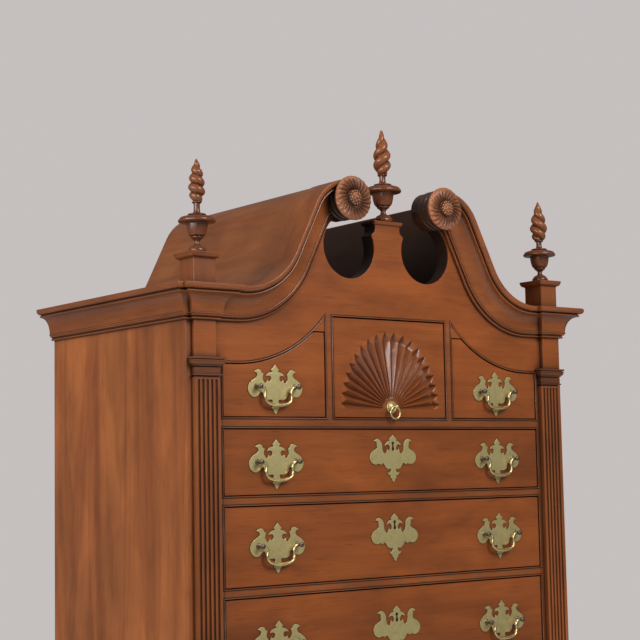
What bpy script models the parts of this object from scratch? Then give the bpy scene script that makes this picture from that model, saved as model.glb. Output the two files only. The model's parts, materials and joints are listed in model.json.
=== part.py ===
"""Bombe chest-on-chest with a bonnet top, built as an assembly of separate pieces.

Metres, +Z up. +X is to the right of someone facing the chest and -Y is towards them.
Pieces are laid out with the face of the upper drawers at y = 0; the whole chest is then
centred on the origin by its parent empty.
"""
import math

import bmesh
import bpy

# Fits
GAP = 0.0003              # air left in a seated or glued joint
DRAWER_GAP = 0.0012       # line round a drawer front
TRAY_GAP = 0.003          # running clearance beside a drawer tray

# Upper case
TOTAL_H = 2.2793          # floor to the tip of the centre finial
UPPER_HALF_W = 0.502
CASE_DEPTH = 0.530
SIDE_T = 0.020
FRAME_T = 0.022           # stiles and rails, front to back
BACK_T = 0.012
BOTTOM_T = 0.022
STILE_W = 0.082           # drawer opening to the case side's outer face
LONG_STEP = 0.0255        # each long drawer is this much taller than the one above
LONG_COUNT = 4
RAIL_H = 0.0193
TIER_RAIL_H = 0.0213      # rail under the small drawers
GUIDE_H = 0.018

# Small-drawer tier, heights from the tier's floor
FAN_SHARE = 0.3607        # fan drawer over the whole opening
FAN_H = 0.2059
DIVIDER_T = 0.0196
SMALL_H = 0.1045          # small drawer at its outer end
SMALL_CLIP_H = 0.1727     # flat corner beside the divider
ARCH_LEVEL_W = 0.030      # level end of the arched top
ARCH_SHARE = 0.75

# Fan carving
FAN_MARGIN = 0.0195       # drawer edge to the fan's lowest rib
FAN_RISE = 0.160
FAN_SEAT = 0.0195         # hub line above the drawer's lower edge
FAN_SINK = 0.007
FAN_HUB_R = 0.0225

# Drawer construction
FRONT_T = 0.020
TRAY_SIDE_T = 0.011
TRAY_BOTTOM_T = 0.009
TRAY_SHARE = 0.72         # tray height over front height
TRAY_BACK_SPACE = 0.020
TRAY_LIFT = 0.001         # tray bottom above the front's lower edge
TRAY_FACE_T = 0.003       # tray wood left behind the front

# Crown moulding and swan neck, heights from the moulding's lower edge
FRIEZE_H = 0.1842         # tier floor to the crown moulding
CROWN_H = 0.0664
CROWN_OUT = 0.042
CROWN_FACE_H = 0.0064
CROWN_COVE_OUT = 0.0311
CROWN_COVE_TOP = 0.0496
CROWN_COVE_FOOT = 0.0135
CROWN_OVOLO_OUT = 0.010
CROWN_FILLET_OUT = 0.033
CROWN_FILLET_TOP = 0.053
SWAN_LEAD = 0.0513        # level moulding between pilaster and swan neck
SWAN_ROUND_SHARE = 0.3984 # swan-neck radius over the case's half width
SWAN_TILT = math.radians(63.5)
SWAN_STRAIGHT_SHARE = 0.2351
SWAN_END_R = 0.029
ROOF_T = 0.010
CHANNEL_MARGIN = 0.004    # channel wall outside the tympanum's cut-out
CHANNEL_FLOOR_DROP = 0.0075

# Tympanum cut-outs and centre plinth, heights from the moulding's lower edge
TYMPANUM_T = 0.035
HOLE_SHIFT = 0.0212       # cut-out's centre inside and below the rosette's
HOLE_DROP = 0.092
NECK_HALF_W = 0.0368      # narrowest wood between the cut-outs
EAR_RISE = 0.0295
EAR_SLOPE_H = 0.0105      # sloping shoulder from the ear to the plinth
CENTER_PLINTH_HALF_W = 0.033
CENTER_PLINTH_DEPTH = 0.036
CENTER_PLINTH_RISE = 0.030
CENTER_CAP_H = 0.0080
CENTER_CAP_OUT = 0.0048

# Rosettes
ROSETTE_SHIFT = 0.0059    # rosette's centre past the swan neck's end
ROSETTE_RISE = 0.0281
ROSETTE_R = 0.046
ROSETTE_DRUM_R = 0.042
ROSETTE_TAIL = 0.020      # drum let into the tympanum
ROSETTE_FACE_T = 0.012
ROSETTE_BOSS_R = 0.013
ROSETTE_BOSS_OUT = 0.006

# Pilasters and plinths
BREAK = 0.010             # how far pilaster and moulding break forward
PILASTER_W = 0.049
SHAFT_SPREAD = 0.0083      # shaft and capital reach in past the frieze block
PILASTER_MARGIN = 0.0137  # pilaster to the case side's outer face
FLUTE_COUNT = 5
FLUTE_W = 0.0056
FLUTE_DEPTH = 0.0042
FLUTE_MARGIN = 0.0060
CAPITAL_H = 0.039
CAPITAL_TOP_H = 0.1132    # capital's top above the tier floor
CAPITAL_OUT = 0.009
PILASTER_BASE_H = 0.055
PILASTER_BASE_OUT = 0.005
PLINTH_H = 0.064
PLINTH_DEPTH = 0.050
PLINTH_CAP_H = 0.013
PLINTH_CAP_OUT = 0.0085

# Finials
SIDE_FINIAL_H = 0.184
CENTER_FINIAL_H = 0.1975
CENTER_FINIAL_Y = 0.0125   # centre finial's axis behind the front's face
FINIAL_BRIM_R = 0.0365
FINIAL_FLAME_R = 0.0150
FLAME_TURNS = 1.75

# Pulls
PULL_SHARE = 0.706        # pull's place over the opening's half width
SMALL_PULL_H = 0.0597     # post line above a small drawer's floor
POST_HALF_SPAN = 0.046
POST_R = 0.0042
KNOB_R = 0.0054
KNOB_T = 0.006
BAIL_OFF = 0.0125         # bail axis in front of the drawer's face
BAIL_DROP = 0.036
BAIL_WAIST = 0.0315       # bail's half width where it hangs
BAIL_END_R = 0.0021
BAIL_MID_R = 0.0031
RING_R = 0.0125
RING_POST_R = 0.0032

# Lower case
FOOT_H = 0.150
BASE_T = 0.032
BASE_OUT = 0.016
LOWER_STEP = 0.020        # lower case wider than the upper one, each side
LOWER_FORWARD = 0.020     # lower case stands this far in front of the upper one
LOWER_SIDE_T = 0.030
SIDE_SWELL = 0.050
FRONT_SWELL = 0.048
SWELL_LOW = 0.72          # below 1 the belly sits low
SWELL_SHARPNESS = 1.4
LOWER_EXTRA_H = 0.0605    # top drawer of the lower case over the top long one
LOWER_COUNT = 3
LOWER_FRONT_T = 0.024
WAIST_T = 0.030
WAIST_OUT = 0.014
WAIST_RING_H = 0.018
WAIST_RING_OUT = 0.005
FOOT_T = 0.030
FOOT_ANKLE_L = 0.085
FOOT_WING_L = 0.175
FOOT_OGEE = 0.011

# Facets
SWELL_STEP = 0.026
ROUND_SIDES = 12
POST_SIDES = 8

# Heights worked out from the sizes above
OPENING_HALF_W = UPPER_HALF_W - STILE_W
FAN_HALF_W = OPENING_HALF_W * FAN_SHARE
FAN_HALF_SPAN = FAN_HALF_W - FAN_MARGIN
ARCH_X = OPENING_HALF_W - ARCH_LEVEL_W
ARCH_R = ARCH_X * ARCH_SHARE
PULL_X = OPENING_HALF_W * PULL_SHARE
PILASTER_OUT_X = UPPER_HALF_W - PILASTER_MARGIN
PILASTER_IN_X = PILASTER_OUT_X - PILASTER_W
SHAFT_IN_X = PILASTER_IN_X - SHAFT_SPREAD
SWAN_START_X = PILASTER_IN_X - SWAN_LEAD
SWAN_R = UPPER_HALF_W * SWAN_ROUND_SHARE
SWAN_STRAIGHT = UPPER_HALF_W * SWAN_STRAIGHT_SHARE
SWAN_END_X = (SWAN_START_X - (SWAN_R + SWAN_END_R) * math.sin(SWAN_TILT)
              - SWAN_STRAIGHT * math.cos(SWAN_TILT))
SWAN_RISE = (SWAN_R + SWAN_END_R) * (1 - math.cos(SWAN_TILT)) + SWAN_STRAIGHT * math.sin(SWAN_TILT)
ROSETTE_X = SWAN_END_X - ROSETTE_SHIFT
ROSETTE_H = SWAN_RISE + ROSETTE_RISE
HOLE_X = ROSETTE_X - HOLE_SHIFT
HOLE_H = ROSETTE_H - HOLE_DROP
HOLE_R = HOLE_X - NECK_HALF_W
TYMPANUM_END_X = ROSETTE_X + GAP
EAR_H = HOLE_H + EAR_RISE
CENTER_PLINTH_H = EAR_H + CENTER_PLINTH_RISE
CHANNEL_HALF_W = HOLE_X + HOLE_R + CHANNEL_MARGIN
CHANNEL_FLOOR_H = HOLE_H - HOLE_R - CHANNEL_FLOOR_DROP
LOWER_HALF_W = UPPER_HALF_W + LOWER_STEP
FIXED_H = (FOOT_H + BASE_T + WAIST_T + BOTTOM_T + TIER_RAIL_H + FRIEZE_H + CENTER_PLINTH_H + GAP
           + CENTER_FINIAL_H + RAIL_H * (LONG_COUNT + LOWER_COUNT - 2) + LOWER_EXTRA_H * LOWER_COUNT)
STEP_COUNT = (LONG_COUNT * (LONG_COUNT - 1) + LOWER_COUNT * (LOWER_COUNT - 1)) / 2
FIRST_LONG_H = (TOTAL_H - FIXED_H - LONG_STEP * STEP_COUNT) / (LONG_COUNT + LOWER_COUNT)
FIRST_LOWER_H = FIRST_LONG_H + LOWER_EXTRA_H
LONG_HEIGHTS = [FIRST_LONG_H + LONG_STEP * i for i in range(LONG_COUNT)]
LOWER_HEIGHTS = [FIRST_LOWER_H + LONG_STEP * i for i in range(LOWER_COUNT)]
BASE_TOP = FOOT_H + BASE_T
LOWER_TOP = BASE_TOP + sum(LOWER_HEIGHTS) + RAIL_H * (LOWER_COUNT - 1)
WAIST_TOP = LOWER_TOP + WAIST_T
UPPER_FLOOR = WAIST_TOP + BOTTOM_T
LONG_TOP = UPPER_FLOOR + sum(LONG_HEIGHTS) + RAIL_H * (LONG_COUNT - 1)
TIER_FLOOR = LONG_TOP + TIER_RAIL_H
CROWN_Z = TIER_FLOOR + FRIEZE_H
CROWN_TOP = CROWN_Z + CROWN_H
SIDE_IN_X = UPPER_HALF_W - SIDE_T
DIVIDER_OUT_X = FAN_HALF_W + DIVIDER_T
TYMPANUM_FOOT = TIER_FLOOR + SMALL_H
BACK_IN_Y = CASE_DEPTH - BACK_T
LOWER_FACE_Y = -LOWER_FORWARD
PILASTER_X = (PILASTER_IN_X + PILASTER_OUT_X) / 2

CHERRY = ("cherry", (0.235, 0.085, 0.030), 0.42, 0.0)
CHERRY_DARK = ("cherry_dark", (0.155, 0.055, 0.022), 0.45, 0.0)
CHERRY_FRONT = ("cherry_front", (0.260, 0.100, 0.036), 0.40, 0.0)
PINE = ("pine", (0.360, 0.220, 0.110), 0.65, 0.0)
BRASS = ("brass", (0.640, 0.480, 0.220), 0.32, 1.0)


def clear_scene():
    """Remove every object that is in the scene."""
    for item in list(bpy.data.objects):
        bpy.data.objects.remove(item, do_unlink=True)


def material_for(node, finish):
    """Return a Principled material for one node."""
    name, colour, roughness, metallic = finish
    material = bpy.data.materials.new(f"{node}_{name}")
    material.use_nodes = True
    shader = material.node_tree.nodes["Principled BSDF"]
    shader.inputs["Base Color"].default_value = (*colour, 1.0)
    shader.inputs["Roughness"].default_value = roughness
    shader.inputs["Metallic"].default_value = metallic
    material.diffuse_color = (*colour, 1.0)
    return material


def loft(rings):
    """Return vertices and faces of a closed solid through rings of equal point count."""
    count = len(rings[0])
    verts = [point for ring in rings for point in ring]
    faces = [tuple(reversed(range(count)))]
    for level in range(len(rings) - 1):
        low = level * count
        for i in range(count):
            j = (i + 1) % count
            faces.append((low + i, low + j, low + count + j, low + count + i))
    faces.append(tuple(range(len(verts) - count, len(verts))))
    return verts, faces


def upright(outline, z_low, z_high):
    """Loft an (x, y) outline from one height to another."""
    return loft([[(x, y, z) for x, y in outline] for z in (z_low, z_high)])


def board(outline, y_front, y_back):
    """Loft an (x, z) outline from front to back."""
    return loft([[(x, y, z) for x, z in outline] for y in (y_front, y_back)])


def block(x_low, x_high, y_low, y_high, z_low, z_high):
    """Return a rectangular solid."""
    return upright([(x_low, y_low), (x_high, y_low), (x_high, y_high), (x_low, y_high)],
                   z_low, z_high)


def arc(cx, cy, rx, ry, start, end, steps):
    """Points along an elliptical arc; angles in degrees."""
    points = []
    for i in range(steps + 1):
        angle = math.radians(start + (end - start) * i / steps)
        points.append((cx + rx * math.cos(angle), cy + ry * math.sin(angle)))
    return points


def solid(name, shape):
    """Make an object from vertices and faces, with its normals outwards."""
    mesh = bpy.data.meshes.new(name)
    mesh.from_pydata(shape[0], [], shape[1])
    work = bmesh.new()
    work.from_mesh(mesh)
    bmesh.ops.recalc_face_normals(work, faces=work.faces)
    work.to_mesh(mesh)
    work.free()
    item = bpy.data.objects.new(name, mesh)
    bpy.context.collection.objects.link(item)
    return item


def combine(item, shape, operation):
    """Join a shape to an object, or cut it out, with an exact Boolean."""
    tool = solid("tool", shape)
    modifier = item.modifiers.new(operation.lower(), "BOOLEAN")
    modifier.operation = operation
    modifier.solver = "EXACT"
    modifier.object = tool
    bpy.context.view_layer.update()
    depsgraph = bpy.context.evaluated_depsgraph_get()
    mesh = bpy.data.meshes.new_from_object(item.evaluated_get(depsgraph))
    item.modifiers.clear()
    item.data = mesh
    bpy.data.objects.remove(tool, do_unlink=True)


def finish_piece(item, chest, finish, pivot=(0.0, 0.0, 0.0)):
    """Give a piece its finish, move its origin to the pivot and hang it on the chest."""
    work = bmesh.new()
    work.from_mesh(item.data)
    bmesh.ops.remove_doubles(work, verts=work.verts, dist=0.00001)
    bmesh.ops.translate(work, verts=work.verts, vec=[-value for value in pivot])
    work.to_mesh(item.data)
    work.free()
    item.data.materials.clear()
    item.data.materials.append(material_for(item.name, finish))
    item.location = pivot
    item.parent = chest
    return item


def piece(name, shape, chest, finish, pivot=(0.0, 0.0, 0.0)):
    """Make and finish a piece that needs no Boolean."""
    return finish_piece(solid(name, shape), chest, finish, pivot)


def side_name(side):
    """Return left or right for -1 or +1."""
    return "right" if side > 0 else "left"


def swan_stations():
    """Lower edge of the right swan neck from its outer end: (x, z, tilt)."""
    arc_steps, end_steps = 8, 5
    stations = []
    for i in range(arc_steps + 1):
        tilt = SWAN_TILT * i / arc_steps
        stations.append((SWAN_START_X - SWAN_R * math.sin(tilt),
                         CROWN_Z + SWAN_R * (1 - math.cos(tilt)), tilt))
    x, z, tilt = stations[-1]
    x -= SWAN_STRAIGHT * math.cos(tilt)
    z += SWAN_STRAIGHT * math.sin(tilt)
    center_x = x - SWAN_END_R * math.sin(tilt)
    center_z = z - SWAN_END_R * math.cos(tilt)
    for i in range(end_steps + 1):
        tilt = SWAN_TILT * (1 - i / end_steps)
        stations.append((center_x + SWAN_END_R * math.sin(tilt),
                         center_z + SWAN_END_R * math.cos(tilt), tilt))
    return stations


def swan_offset(height):
    """The swan-neck curve raised square to itself: (x, z) points, outer end first."""
    return [(x + height * math.sin(tilt), z + height * math.cos(tilt))
            for x, z, tilt in swan_stations()]


def swan_height(height, x):
    """Height of the raised swan-neck curve at x."""
    line = swan_offset(height)
    for (x_out, z_out), (x_in, z_in) in zip(line, line[1:]):
        if x_in <= x <= x_out:
            return z_in + (z_out - z_in) * (x - x_in) / (x_out - x_in)
    return line[-1][1]


def arch_points(raise_by, from_height):
    """Arched top of the small drawers from the divider side outwards, at or below a height."""
    center_z = TIER_FLOOR + SMALL_H + ARCH_R
    radius = ARCH_R - raise_by
    start = math.asin(min(1.0, (center_z - TIER_FLOOR - from_height) / radius))
    steps = 9
    points = []
    for i in range(steps + 1):
        angle = start + (math.pi / 2 - start) * i / steps
        points.append((ARCH_X - radius * math.cos(angle), center_z - radius * math.sin(angle)))
    return points


def mirrored(half):
    """Close a right-hand outline, from bottom centre to top centre, with its mirror image."""
    return half + [(-x, z) for x, z in reversed(half) if abs(x) > 0.00001]


def flipped(outline, side):
    """Return the outline for one side of the chest."""
    return [(side * x, other) for x, other in outline]


def swell(z):
    """Share of the full swell, 0 to 1, at a height of the lower case."""
    share = min(max((z - BASE_TOP) / (LOWER_TOP - BASE_TOP), 0.0), 1.0)
    return math.sin(math.pi * share ** SWELL_LOW) ** SWELL_SHARPNESS if 0 < share < 1 else 0.0


def lower_inner_x(z):
    """Inner face of the swelled sides."""
    return LOWER_HALF_W + SIDE_SWELL * swell(z) - LOWER_SIDE_T


def lower_face_y(z):
    """Front face of the lower case."""
    return LOWER_FACE_Y - FRONT_SWELL * swell(z)


def levels(z_low, z_high):
    """Heights from one end to the other, close enough to follow the swell."""
    steps = max(1, math.ceil((z_high - z_low) / SWELL_STEP))
    return [z_low + (z_high - z_low) * i / steps for i in range(steps + 1)]


def swelled(z_low, z_high, half_width, y_front, y_back):
    """Loft a full-width piece whose half width and front follow functions of height."""
    rings = []
    for z in levels(z_low, z_high):
        half, front = half_width(z), y_front(z)
        rings.append([(-half, front, z), (half, front, z), (half, y_back, z), (-half, y_back, z)])
    return loft(rings)


def rectangles(rows):
    """Loft rectangles that reach back to the wall: rows of (z, half width, front y)."""
    return loft([[(-half, front, z), (half, front, z), (half, CASE_DEPTH, z), (-half, CASE_DEPTH, z)]
                 for z, half, front in rows])


def turned_y(x, z, rows, sides):
    """Loft circles about an axis along Y: rows of (y, radius)."""
    rings = []
    first = 180 / sides
    for y, radius in rows:
        rings.append([(px, y, pz) for px, pz in arc(x, z, radius, radius, first, first + 360, sides)[:-1]])
    return loft(rings)


def upper_case(chest):
    """Sides, back, bottom, dust boards and the small-drawer partition."""
    roof_under = CROWN_TOP - ROOF_T - GAP
    for side in (-1, 1):
        low, high = sorted((side * SIDE_IN_X, side * UPPER_HALF_W))
        item = solid(f"upper_side_{side_name(side)}",
                     block(low, high, 0, CASE_DEPTH, WAIST_TOP + GAP, roof_under))
        low, high = sorted((side * OPENING_HALF_W, side * (SIDE_IN_X + SIDE_T / 2)))
        combine(item, block(low, high, 0, FRAME_T, WAIST_TOP + GAP, TYMPANUM_FOOT - GAP), "UNION")
        finish_piece(item, chest, CHERRY)
    wall = SIDE_IN_X - GAP
    inner = CHANNEL_HALF_W + ROOF_T + GAP
    under = CROWN_H - ROOF_T - GAP
    slope = swan_offset(under)
    half = [(0, WAIST_TOP + GAP), (wall, WAIST_TOP + GAP), (wall, slope[0][1])]
    half += [(x, z) for x, z in slope if x > inner]
    half += [(inner, swan_height(under, inner))]
    floor = CROWN_Z + CHANNEL_FLOOR_H - ROOF_T - GAP
    half += [(inner, floor), (0, floor)]
    piece("upper_back", board(mirrored(half), BACK_IN_Y, CASE_DEPTH), chest, PINE)
    dust_board("upper_bottom", chest, WAIST_TOP + GAP, UPPER_FLOOR)
    z = UPPER_FLOOR
    for number, height in reversed(list(enumerate(LONG_HEIGHTS[1:], start=2))):
        z += height
        dust_board(f"dust_board_{number}", chest, z, z + RAIL_H)
        z += RAIL_H
    partition(chest)


def dust_section(z_low, z_high, half_w, uprights):
    """Board with uprights on it, as an (x, z) outline: uprights are (x_low, x_high, top)."""
    outline = [(-half_w, z_low), (half_w, z_low)]
    for x_low, x_high, top in sorted(uprights, reverse=True):
        if x_high < half_w:
            outline.append((x_high, z_high))
        outline += [(x_high, top), (x_low, top)]
        if x_low > -half_w:
            outline.append((x_low, z_high))
    if not any(x_low <= -half_w for x_low, _, _ in uprights):
        outline.append((-half_w, z_high))
    if not any(x_high >= half_w for _, x_high, _ in uprights):
        outline.insert(2, (half_w, z_high))
    return outline


def guides(z_high):
    """Drawer guides that fill the space behind the stiles."""
    outer = SIDE_IN_X - GAP
    top = z_high + GUIDE_H
    return [(OPENING_HALF_W, outer, top), (-outer, -OPENING_HALF_W, top)]


def dust_board(name, chest, z_low, z_high):
    """Rail, dust board and drawer guides as one glued frame."""
    section = dust_section(z_low, z_high, SIDE_IN_X - GAP, guides(z_high))
    item = solid(name, board(section, FRAME_T + GAP, BACK_IN_Y - GAP))
    rail = OPENING_HALF_W - GAP
    combine(item, block(-rail, rail, 0, FRAME_T * 2, z_low, z_high), "UNION")
    finish_piece(item, chest, CHERRY)


def partition(chest):
    """Dust board under the small drawers with the two dividers beside the fan drawer."""
    top = TIER_FLOOR + FAN_H
    dividers = [(FAN_HALF_W, DIVIDER_OUT_X, top), (-DIVIDER_OUT_X, -FAN_HALF_W, top)]
    section = dust_section(LONG_TOP, TIER_FLOOR, SIDE_IN_X - GAP, guides(TIER_FLOOR) + dividers)
    item = solid("small_drawer_partition", board(section, FRAME_T + GAP, BACK_IN_Y - GAP))
    face = dust_section(LONG_TOP, TIER_FLOOR, OPENING_HALF_W - GAP, dividers)
    combine(item, board(face, 0, FRAME_T * 2), "UNION")
    finish_piece(item, chest, CHERRY)


def tympanum(chest):
    """Arched front board with its round cut-outs, neck and centre plinth."""
    top_line = TIER_FLOOR + FAN_H + GAP
    clip = SMALL_CLIP_H + DRAWER_GAP
    foot = [(0, top_line), (DIVIDER_OUT_X + GAP, top_line)]
    arch = arch_points(0, clip)
    foot += [(DIVIDER_OUT_X + GAP, TIER_FLOOR + clip)] + arch
    wall = SIDE_IN_X - GAP
    foot += [(wall, arch[-1][1]), (wall, CROWN_TOP)]
    crest = [(x, z) for x, z in swan_offset(CROWN_H) if x > TYMPANUM_END_X]
    crest.append((TYMPANUM_END_X, crest[-1][1]))
    hole_z = CROWN_Z + HOLE_H
    first = math.degrees(math.acos((TYMPANUM_END_X - HOLE_X) / HOLE_R))
    ear = math.degrees(math.asin((EAR_H - HOLE_H) / HOLE_R))
    hole = arc(HOLE_X, hole_z, HOLE_R, HOLE_R, first, -180 - ear, 16)
    shoulder = CROWN_Z + EAR_H + EAR_SLOPE_H
    neck = [(CENTER_PLINTH_HALF_W, shoulder), (0, shoulder)]
    item = solid("tympanum", board(mirrored(foot + crest + hole + neck), 0, TYMPANUM_T))
    for side in (-1, 1):
        seat = turned_y(side * ROSETTE_X, CROWN_Z + ROSETTE_H,
                        [(-TYMPANUM_T, ROSETTE_DRUM_R + GAP), (TYMPANUM_T * 2, ROSETTE_DRUM_R + GAP)], 24)
        combine(item, seat, "DIFFERENCE")
    cap_top = CROWN_Z + CENTER_PLINTH_H
    half, depth, out = CENTER_PLINTH_HALF_W, CENTER_PLINTH_DEPTH, CENTER_CAP_OUT
    rows = [(shoulder - EAR_SLOPE_H / 2, 0), (cap_top - CENTER_CAP_H, 0),
            (cap_top - CENTER_CAP_H * 0.4, out), (cap_top, out)]
    plinth = loft([[(-half - e, -e, z), (half + e, -e, z), (half + e, depth + e, z),
                    (-half - e, depth + e, z)] for z, e in rows])
    combine(item, plinth, "UNION")
    finish_piece(item, chest, CHERRY)


def bonnet(chest):
    """The two bonnet halves: S-shaped roof, inner wall and half the channel floor."""
    top, under = swan_offset(CROWN_H), swan_offset(CROWN_H - ROOF_T)
    floor = CROWN_Z + CHANNEL_FLOOR_H
    inner, outer = CHANNEL_HALF_W, CHANNEL_HALF_W + ROOF_T
    section = [(UPPER_HALF_W, top[0][1])] + [point for point in top if point[0] > inner]
    section += [(inner, swan_height(CROWN_H, inner)), (inner, floor), (GAP / 2, floor), (GAP / 2, floor - ROOF_T)]
    section += [(outer, floor - ROOF_T), (outer, swan_height(CROWN_H - ROOF_T, outer))]
    section += [point for point in reversed(under) if point[0] > outer]
    section += [(UPPER_HALF_W, under[0][1])]
    for side in (-1, 1):
        piece(f"bonnet_{side_name(side)}",
              board(flipped(section, side), TYMPANUM_T + GAP, CASE_DEPTH), chest, CHERRY)


def crown_profile():
    """Section of the crown moulding as (out, up) points."""
    ovolo_foot = CROWN_OVOLO_OUT * 0.25
    ovolo = arc(ovolo_foot, CROWN_COVE_FOOT, CROWN_OVOLO_OUT - ovolo_foot, CROWN_COVE_FOOT, -90, 0, 3)
    cove = arc(CROWN_COVE_OUT, CROWN_COVE_FOOT, CROWN_COVE_OUT - CROWN_OVOLO_OUT - 0.0008,
               CROWN_COVE_TOP - CROWN_COVE_FOOT, 180, 90, 4)
    nose = CROWN_H - CROWN_FACE_H
    corona = arc(CROWN_FILLET_OUT, nose, CROWN_OUT - CROWN_FILLET_OUT, nose - CROWN_FILLET_TOP, -90, 0, 3)
    return ([(GAP, 0)] + ovolo + cove + [(CROWN_FILLET_OUT, CROWN_COVE_TOP)] + corona
            + [(CROWN_OUT, CROWN_H), (GAP, CROWN_H)])


def crown_moulding(chest):
    """Crown mouldings: side run, mitred corner, break over the pilaster and swan neck."""
    profile = crown_profile()
    for side in (-1, 1):
        turns = [(UPPER_HALF_W, CASE_DEPTH, 1, 0), (UPPER_HALF_W, 0, 1, -1),
                 (PILASTER_OUT_X, 0, 1, -1), (PILASTER_OUT_X, -BREAK, 1, -1),
                 (PILASTER_IN_X, -BREAK, -1, -1), (PILASTER_IN_X, 0, -1, -1)]
        rings = [[(side * (x + out_x * o), y + out_y * o, CROWN_Z + u) for o, u in profile]
                 for x, y, out_x, out_y in turns]
        for x, z, tilt in swan_stations():
            rings.append([(side * (x + u * math.sin(tilt)), -o, z + u * math.cos(tilt))
                          for o, u in profile])
        item = solid(f"crown_moulding_{side_name(side)}", loft(rings))
        seat = turned_y(side * ROSETTE_X, CROWN_Z + ROSETTE_H,
                        [(-CROWN_OUT * 2, ROSETTE_DRUM_R + GAP), (CROWN_OUT, ROSETTE_DRUM_R + GAP)], 24)
        combine(item, seat, "DIFFERENCE")
        finish_piece(item, chest, CHERRY)


def rosettes(chest):
    """Carved rosettes on drums that close the ends of the swan necks."""
    face = -CROWN_OUT - GAP
    front = face - ROSETTE_FACE_T
    rows = [(ROSETTE_TAIL, ROSETTE_DRUM_R), (face, ROSETTE_DRUM_R), (face, ROSETTE_R),
            (face - ROSETTE_FACE_T * 0.5, ROSETTE_R), (front, ROSETTE_R * 0.72),
            (front + ROSETTE_FACE_T * 0.35, ROSETTE_BOSS_R * 1.25), (front, ROSETTE_BOSS_R),
            (front - ROSETTE_BOSS_OUT, ROSETTE_BOSS_R * 0.5)]
    for side in (-1, 1):
        piece(f"rosette_{side_name(side)}",
              turned_y(side * ROSETTE_X, CROWN_Z + ROSETTE_H, rows, 24), chest, CHERRY_DARK)


def pilaster_ring(side, z, out, flute, inner=SHAFT_IN_X):
    """One level of a pilaster: its plan with flutes of a given depth."""
    low, high, front = inner - out, PILASTER_OUT_X + out, -BREAK - out
    span = PILASTER_OUT_X - inner - 2 * FLUTE_MARGIN
    pitch = (span - FLUTE_W) / (FLUTE_COUNT - 1)
    plan = [(low, -GAP), (low, front)]
    for i in range(FLUTE_COUNT):
        start = inner + FLUTE_MARGIN + pitch * i
        plan += [(start, front), (start + FLUTE_W / 2, front + flute), (start + FLUTE_W, front)]
    plan += [(high, front), (high, -GAP)]
    return [(side * x, y, z) for x, y in plan]


def pilasters(chest):
    """Fluted pilasters with base, capital and the frieze block up to the plinth."""
    foot = WAIST_TOP + WAIST_RING_H + GAP
    shaft = foot + PILASTER_BASE_H
    cap_top = TIER_FLOOR + CAPITAL_TOP_H
    cap = cap_top - CAPITAL_H
    out, base = CAPITAL_OUT, PILASTER_BASE_OUT
    rows = [(foot, base, 0), (shaft - base * 2, base, 0), (shaft, 0, 0), (shaft + base, 0, 0),
            (shaft + base * 1.6, 0, FLUTE_DEPTH), (cap - base * 1.6, 0, FLUTE_DEPTH),
            (cap - base, 0, 0), (cap + CAPITAL_H * 0.05, 0, 0), (cap + CAPITAL_H * 0.07, out * 0.38, 0),
            (cap + CAPITAL_H * 0.15, out * 0.38, 0), (cap + CAPITAL_H * 0.17, out * 0.08, 0),
            (cap + CAPITAL_H * 0.52, out * 0.08, 0), (cap + CAPITAL_H * 0.57, out * 0.36, 0),
            (cap + CAPITAL_H * 0.63, out * 0.36, 0), (cap + CAPITAL_H * 0.81, out * 0.86, 0),
            (cap + CAPITAL_H * 0.91, out, 0), (cap_top, out, 0),
            (cap_top + 0.0005, 0, 0, PILASTER_IN_X), (CROWN_TOP, 0, 0, PILASTER_IN_X)]
    for side in (-1, 1):
        piece(f"pilaster_{side_name(side)}", loft([pilaster_ring(side, *row) for row in rows]),
              chest, CHERRY)


def plinths(chest):
    """Square plinths with moulded caps that carry the side finials."""
    low, out = CROWN_TOP + GAP, PLINTH_CAP_OUT
    top = CROWN_TOP + PLINTH_H
    rows = [(low, 0), (top - PLINTH_CAP_H, 0), (top - PLINTH_CAP_H * 0.9, out * 0.25),
            (top - PLINTH_CAP_H * 0.45, out * 0.8), (top - PLINTH_CAP_H * 0.35, out), (top, out)]
    for side in (-1, 1):
        rings = [[(side * (PILASTER_IN_X - e), -BREAK - e, z), (side * (PILASTER_OUT_X + e), -BREAK - e, z),
                  (side * (PILASTER_OUT_X + e), PLINTH_DEPTH - BREAK + e, z),
                  (side * (PILASTER_IN_X - e), PLINTH_DEPTH - BREAK + e, z)] for z, e in rows]
        piece(f"plinth_{side_name(side)}", loft(rings), chest, CHERRY)


def finial(name, chest, x, y, z, height, hand):
    """Urn finial with a twisted flame; hand is the way the twist runs."""
    scale = height / SIDE_FINIAL_H
    brim, flame = FINIAL_BRIM_R * scale, FINIAL_FLAME_R * scale
    urn = [(0.0, brim * 0.46), (0.050, brim * 0.45), (0.083, brim * 0.31), (0.095, brim * 0.17),
           (0.127, brim * 0.14), (0.155, brim * 0.20), (0.174, brim * 0.31), (0.192, brim * 0.32),
           (0.199, brim * 0.43), (0.242, brim * 0.52), (0.310, brim * 0.58), (0.318, brim * 0.92),
           (0.334, brim), (0.346, brim), (0.368, brim * 0.90), (0.396, brim * 0.48), (0.409, brim * 0.44),
           (0.418, brim * 0.24), (0.440, brim * 0.165), (0.501, brim * 0.165)]
    rings = [[(px, py, z + share * height) for px, py in arc(x, y, r, r, 0, 360, ROUND_SIDES)[:-1]]
             for share, r in urn]
    steps = 13
    start = urn[-1][0]
    for i in range(1, steps + 1):
        share = i / steps
        radius = flame * math.sin(math.pi * (0.135 + 0.845 * share ** 0.82)) + 0.0006
        turn = hand * 2 * math.pi * FLAME_TURNS * share
        ring = []
        for k in range(ROUND_SIDES):
            angle = 2 * math.pi * k / ROUND_SIDES
            reach = radius * (1 + 0.20 * math.cos(2 * (angle - turn)))
            ring.append((x + reach * math.cos(angle), y + reach * math.sin(angle),
                         z + height * (start + (1 - start) * share)))
        rings.append(ring)
    piece(name, loft(rings), chest, CHERRY_DARK)


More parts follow.
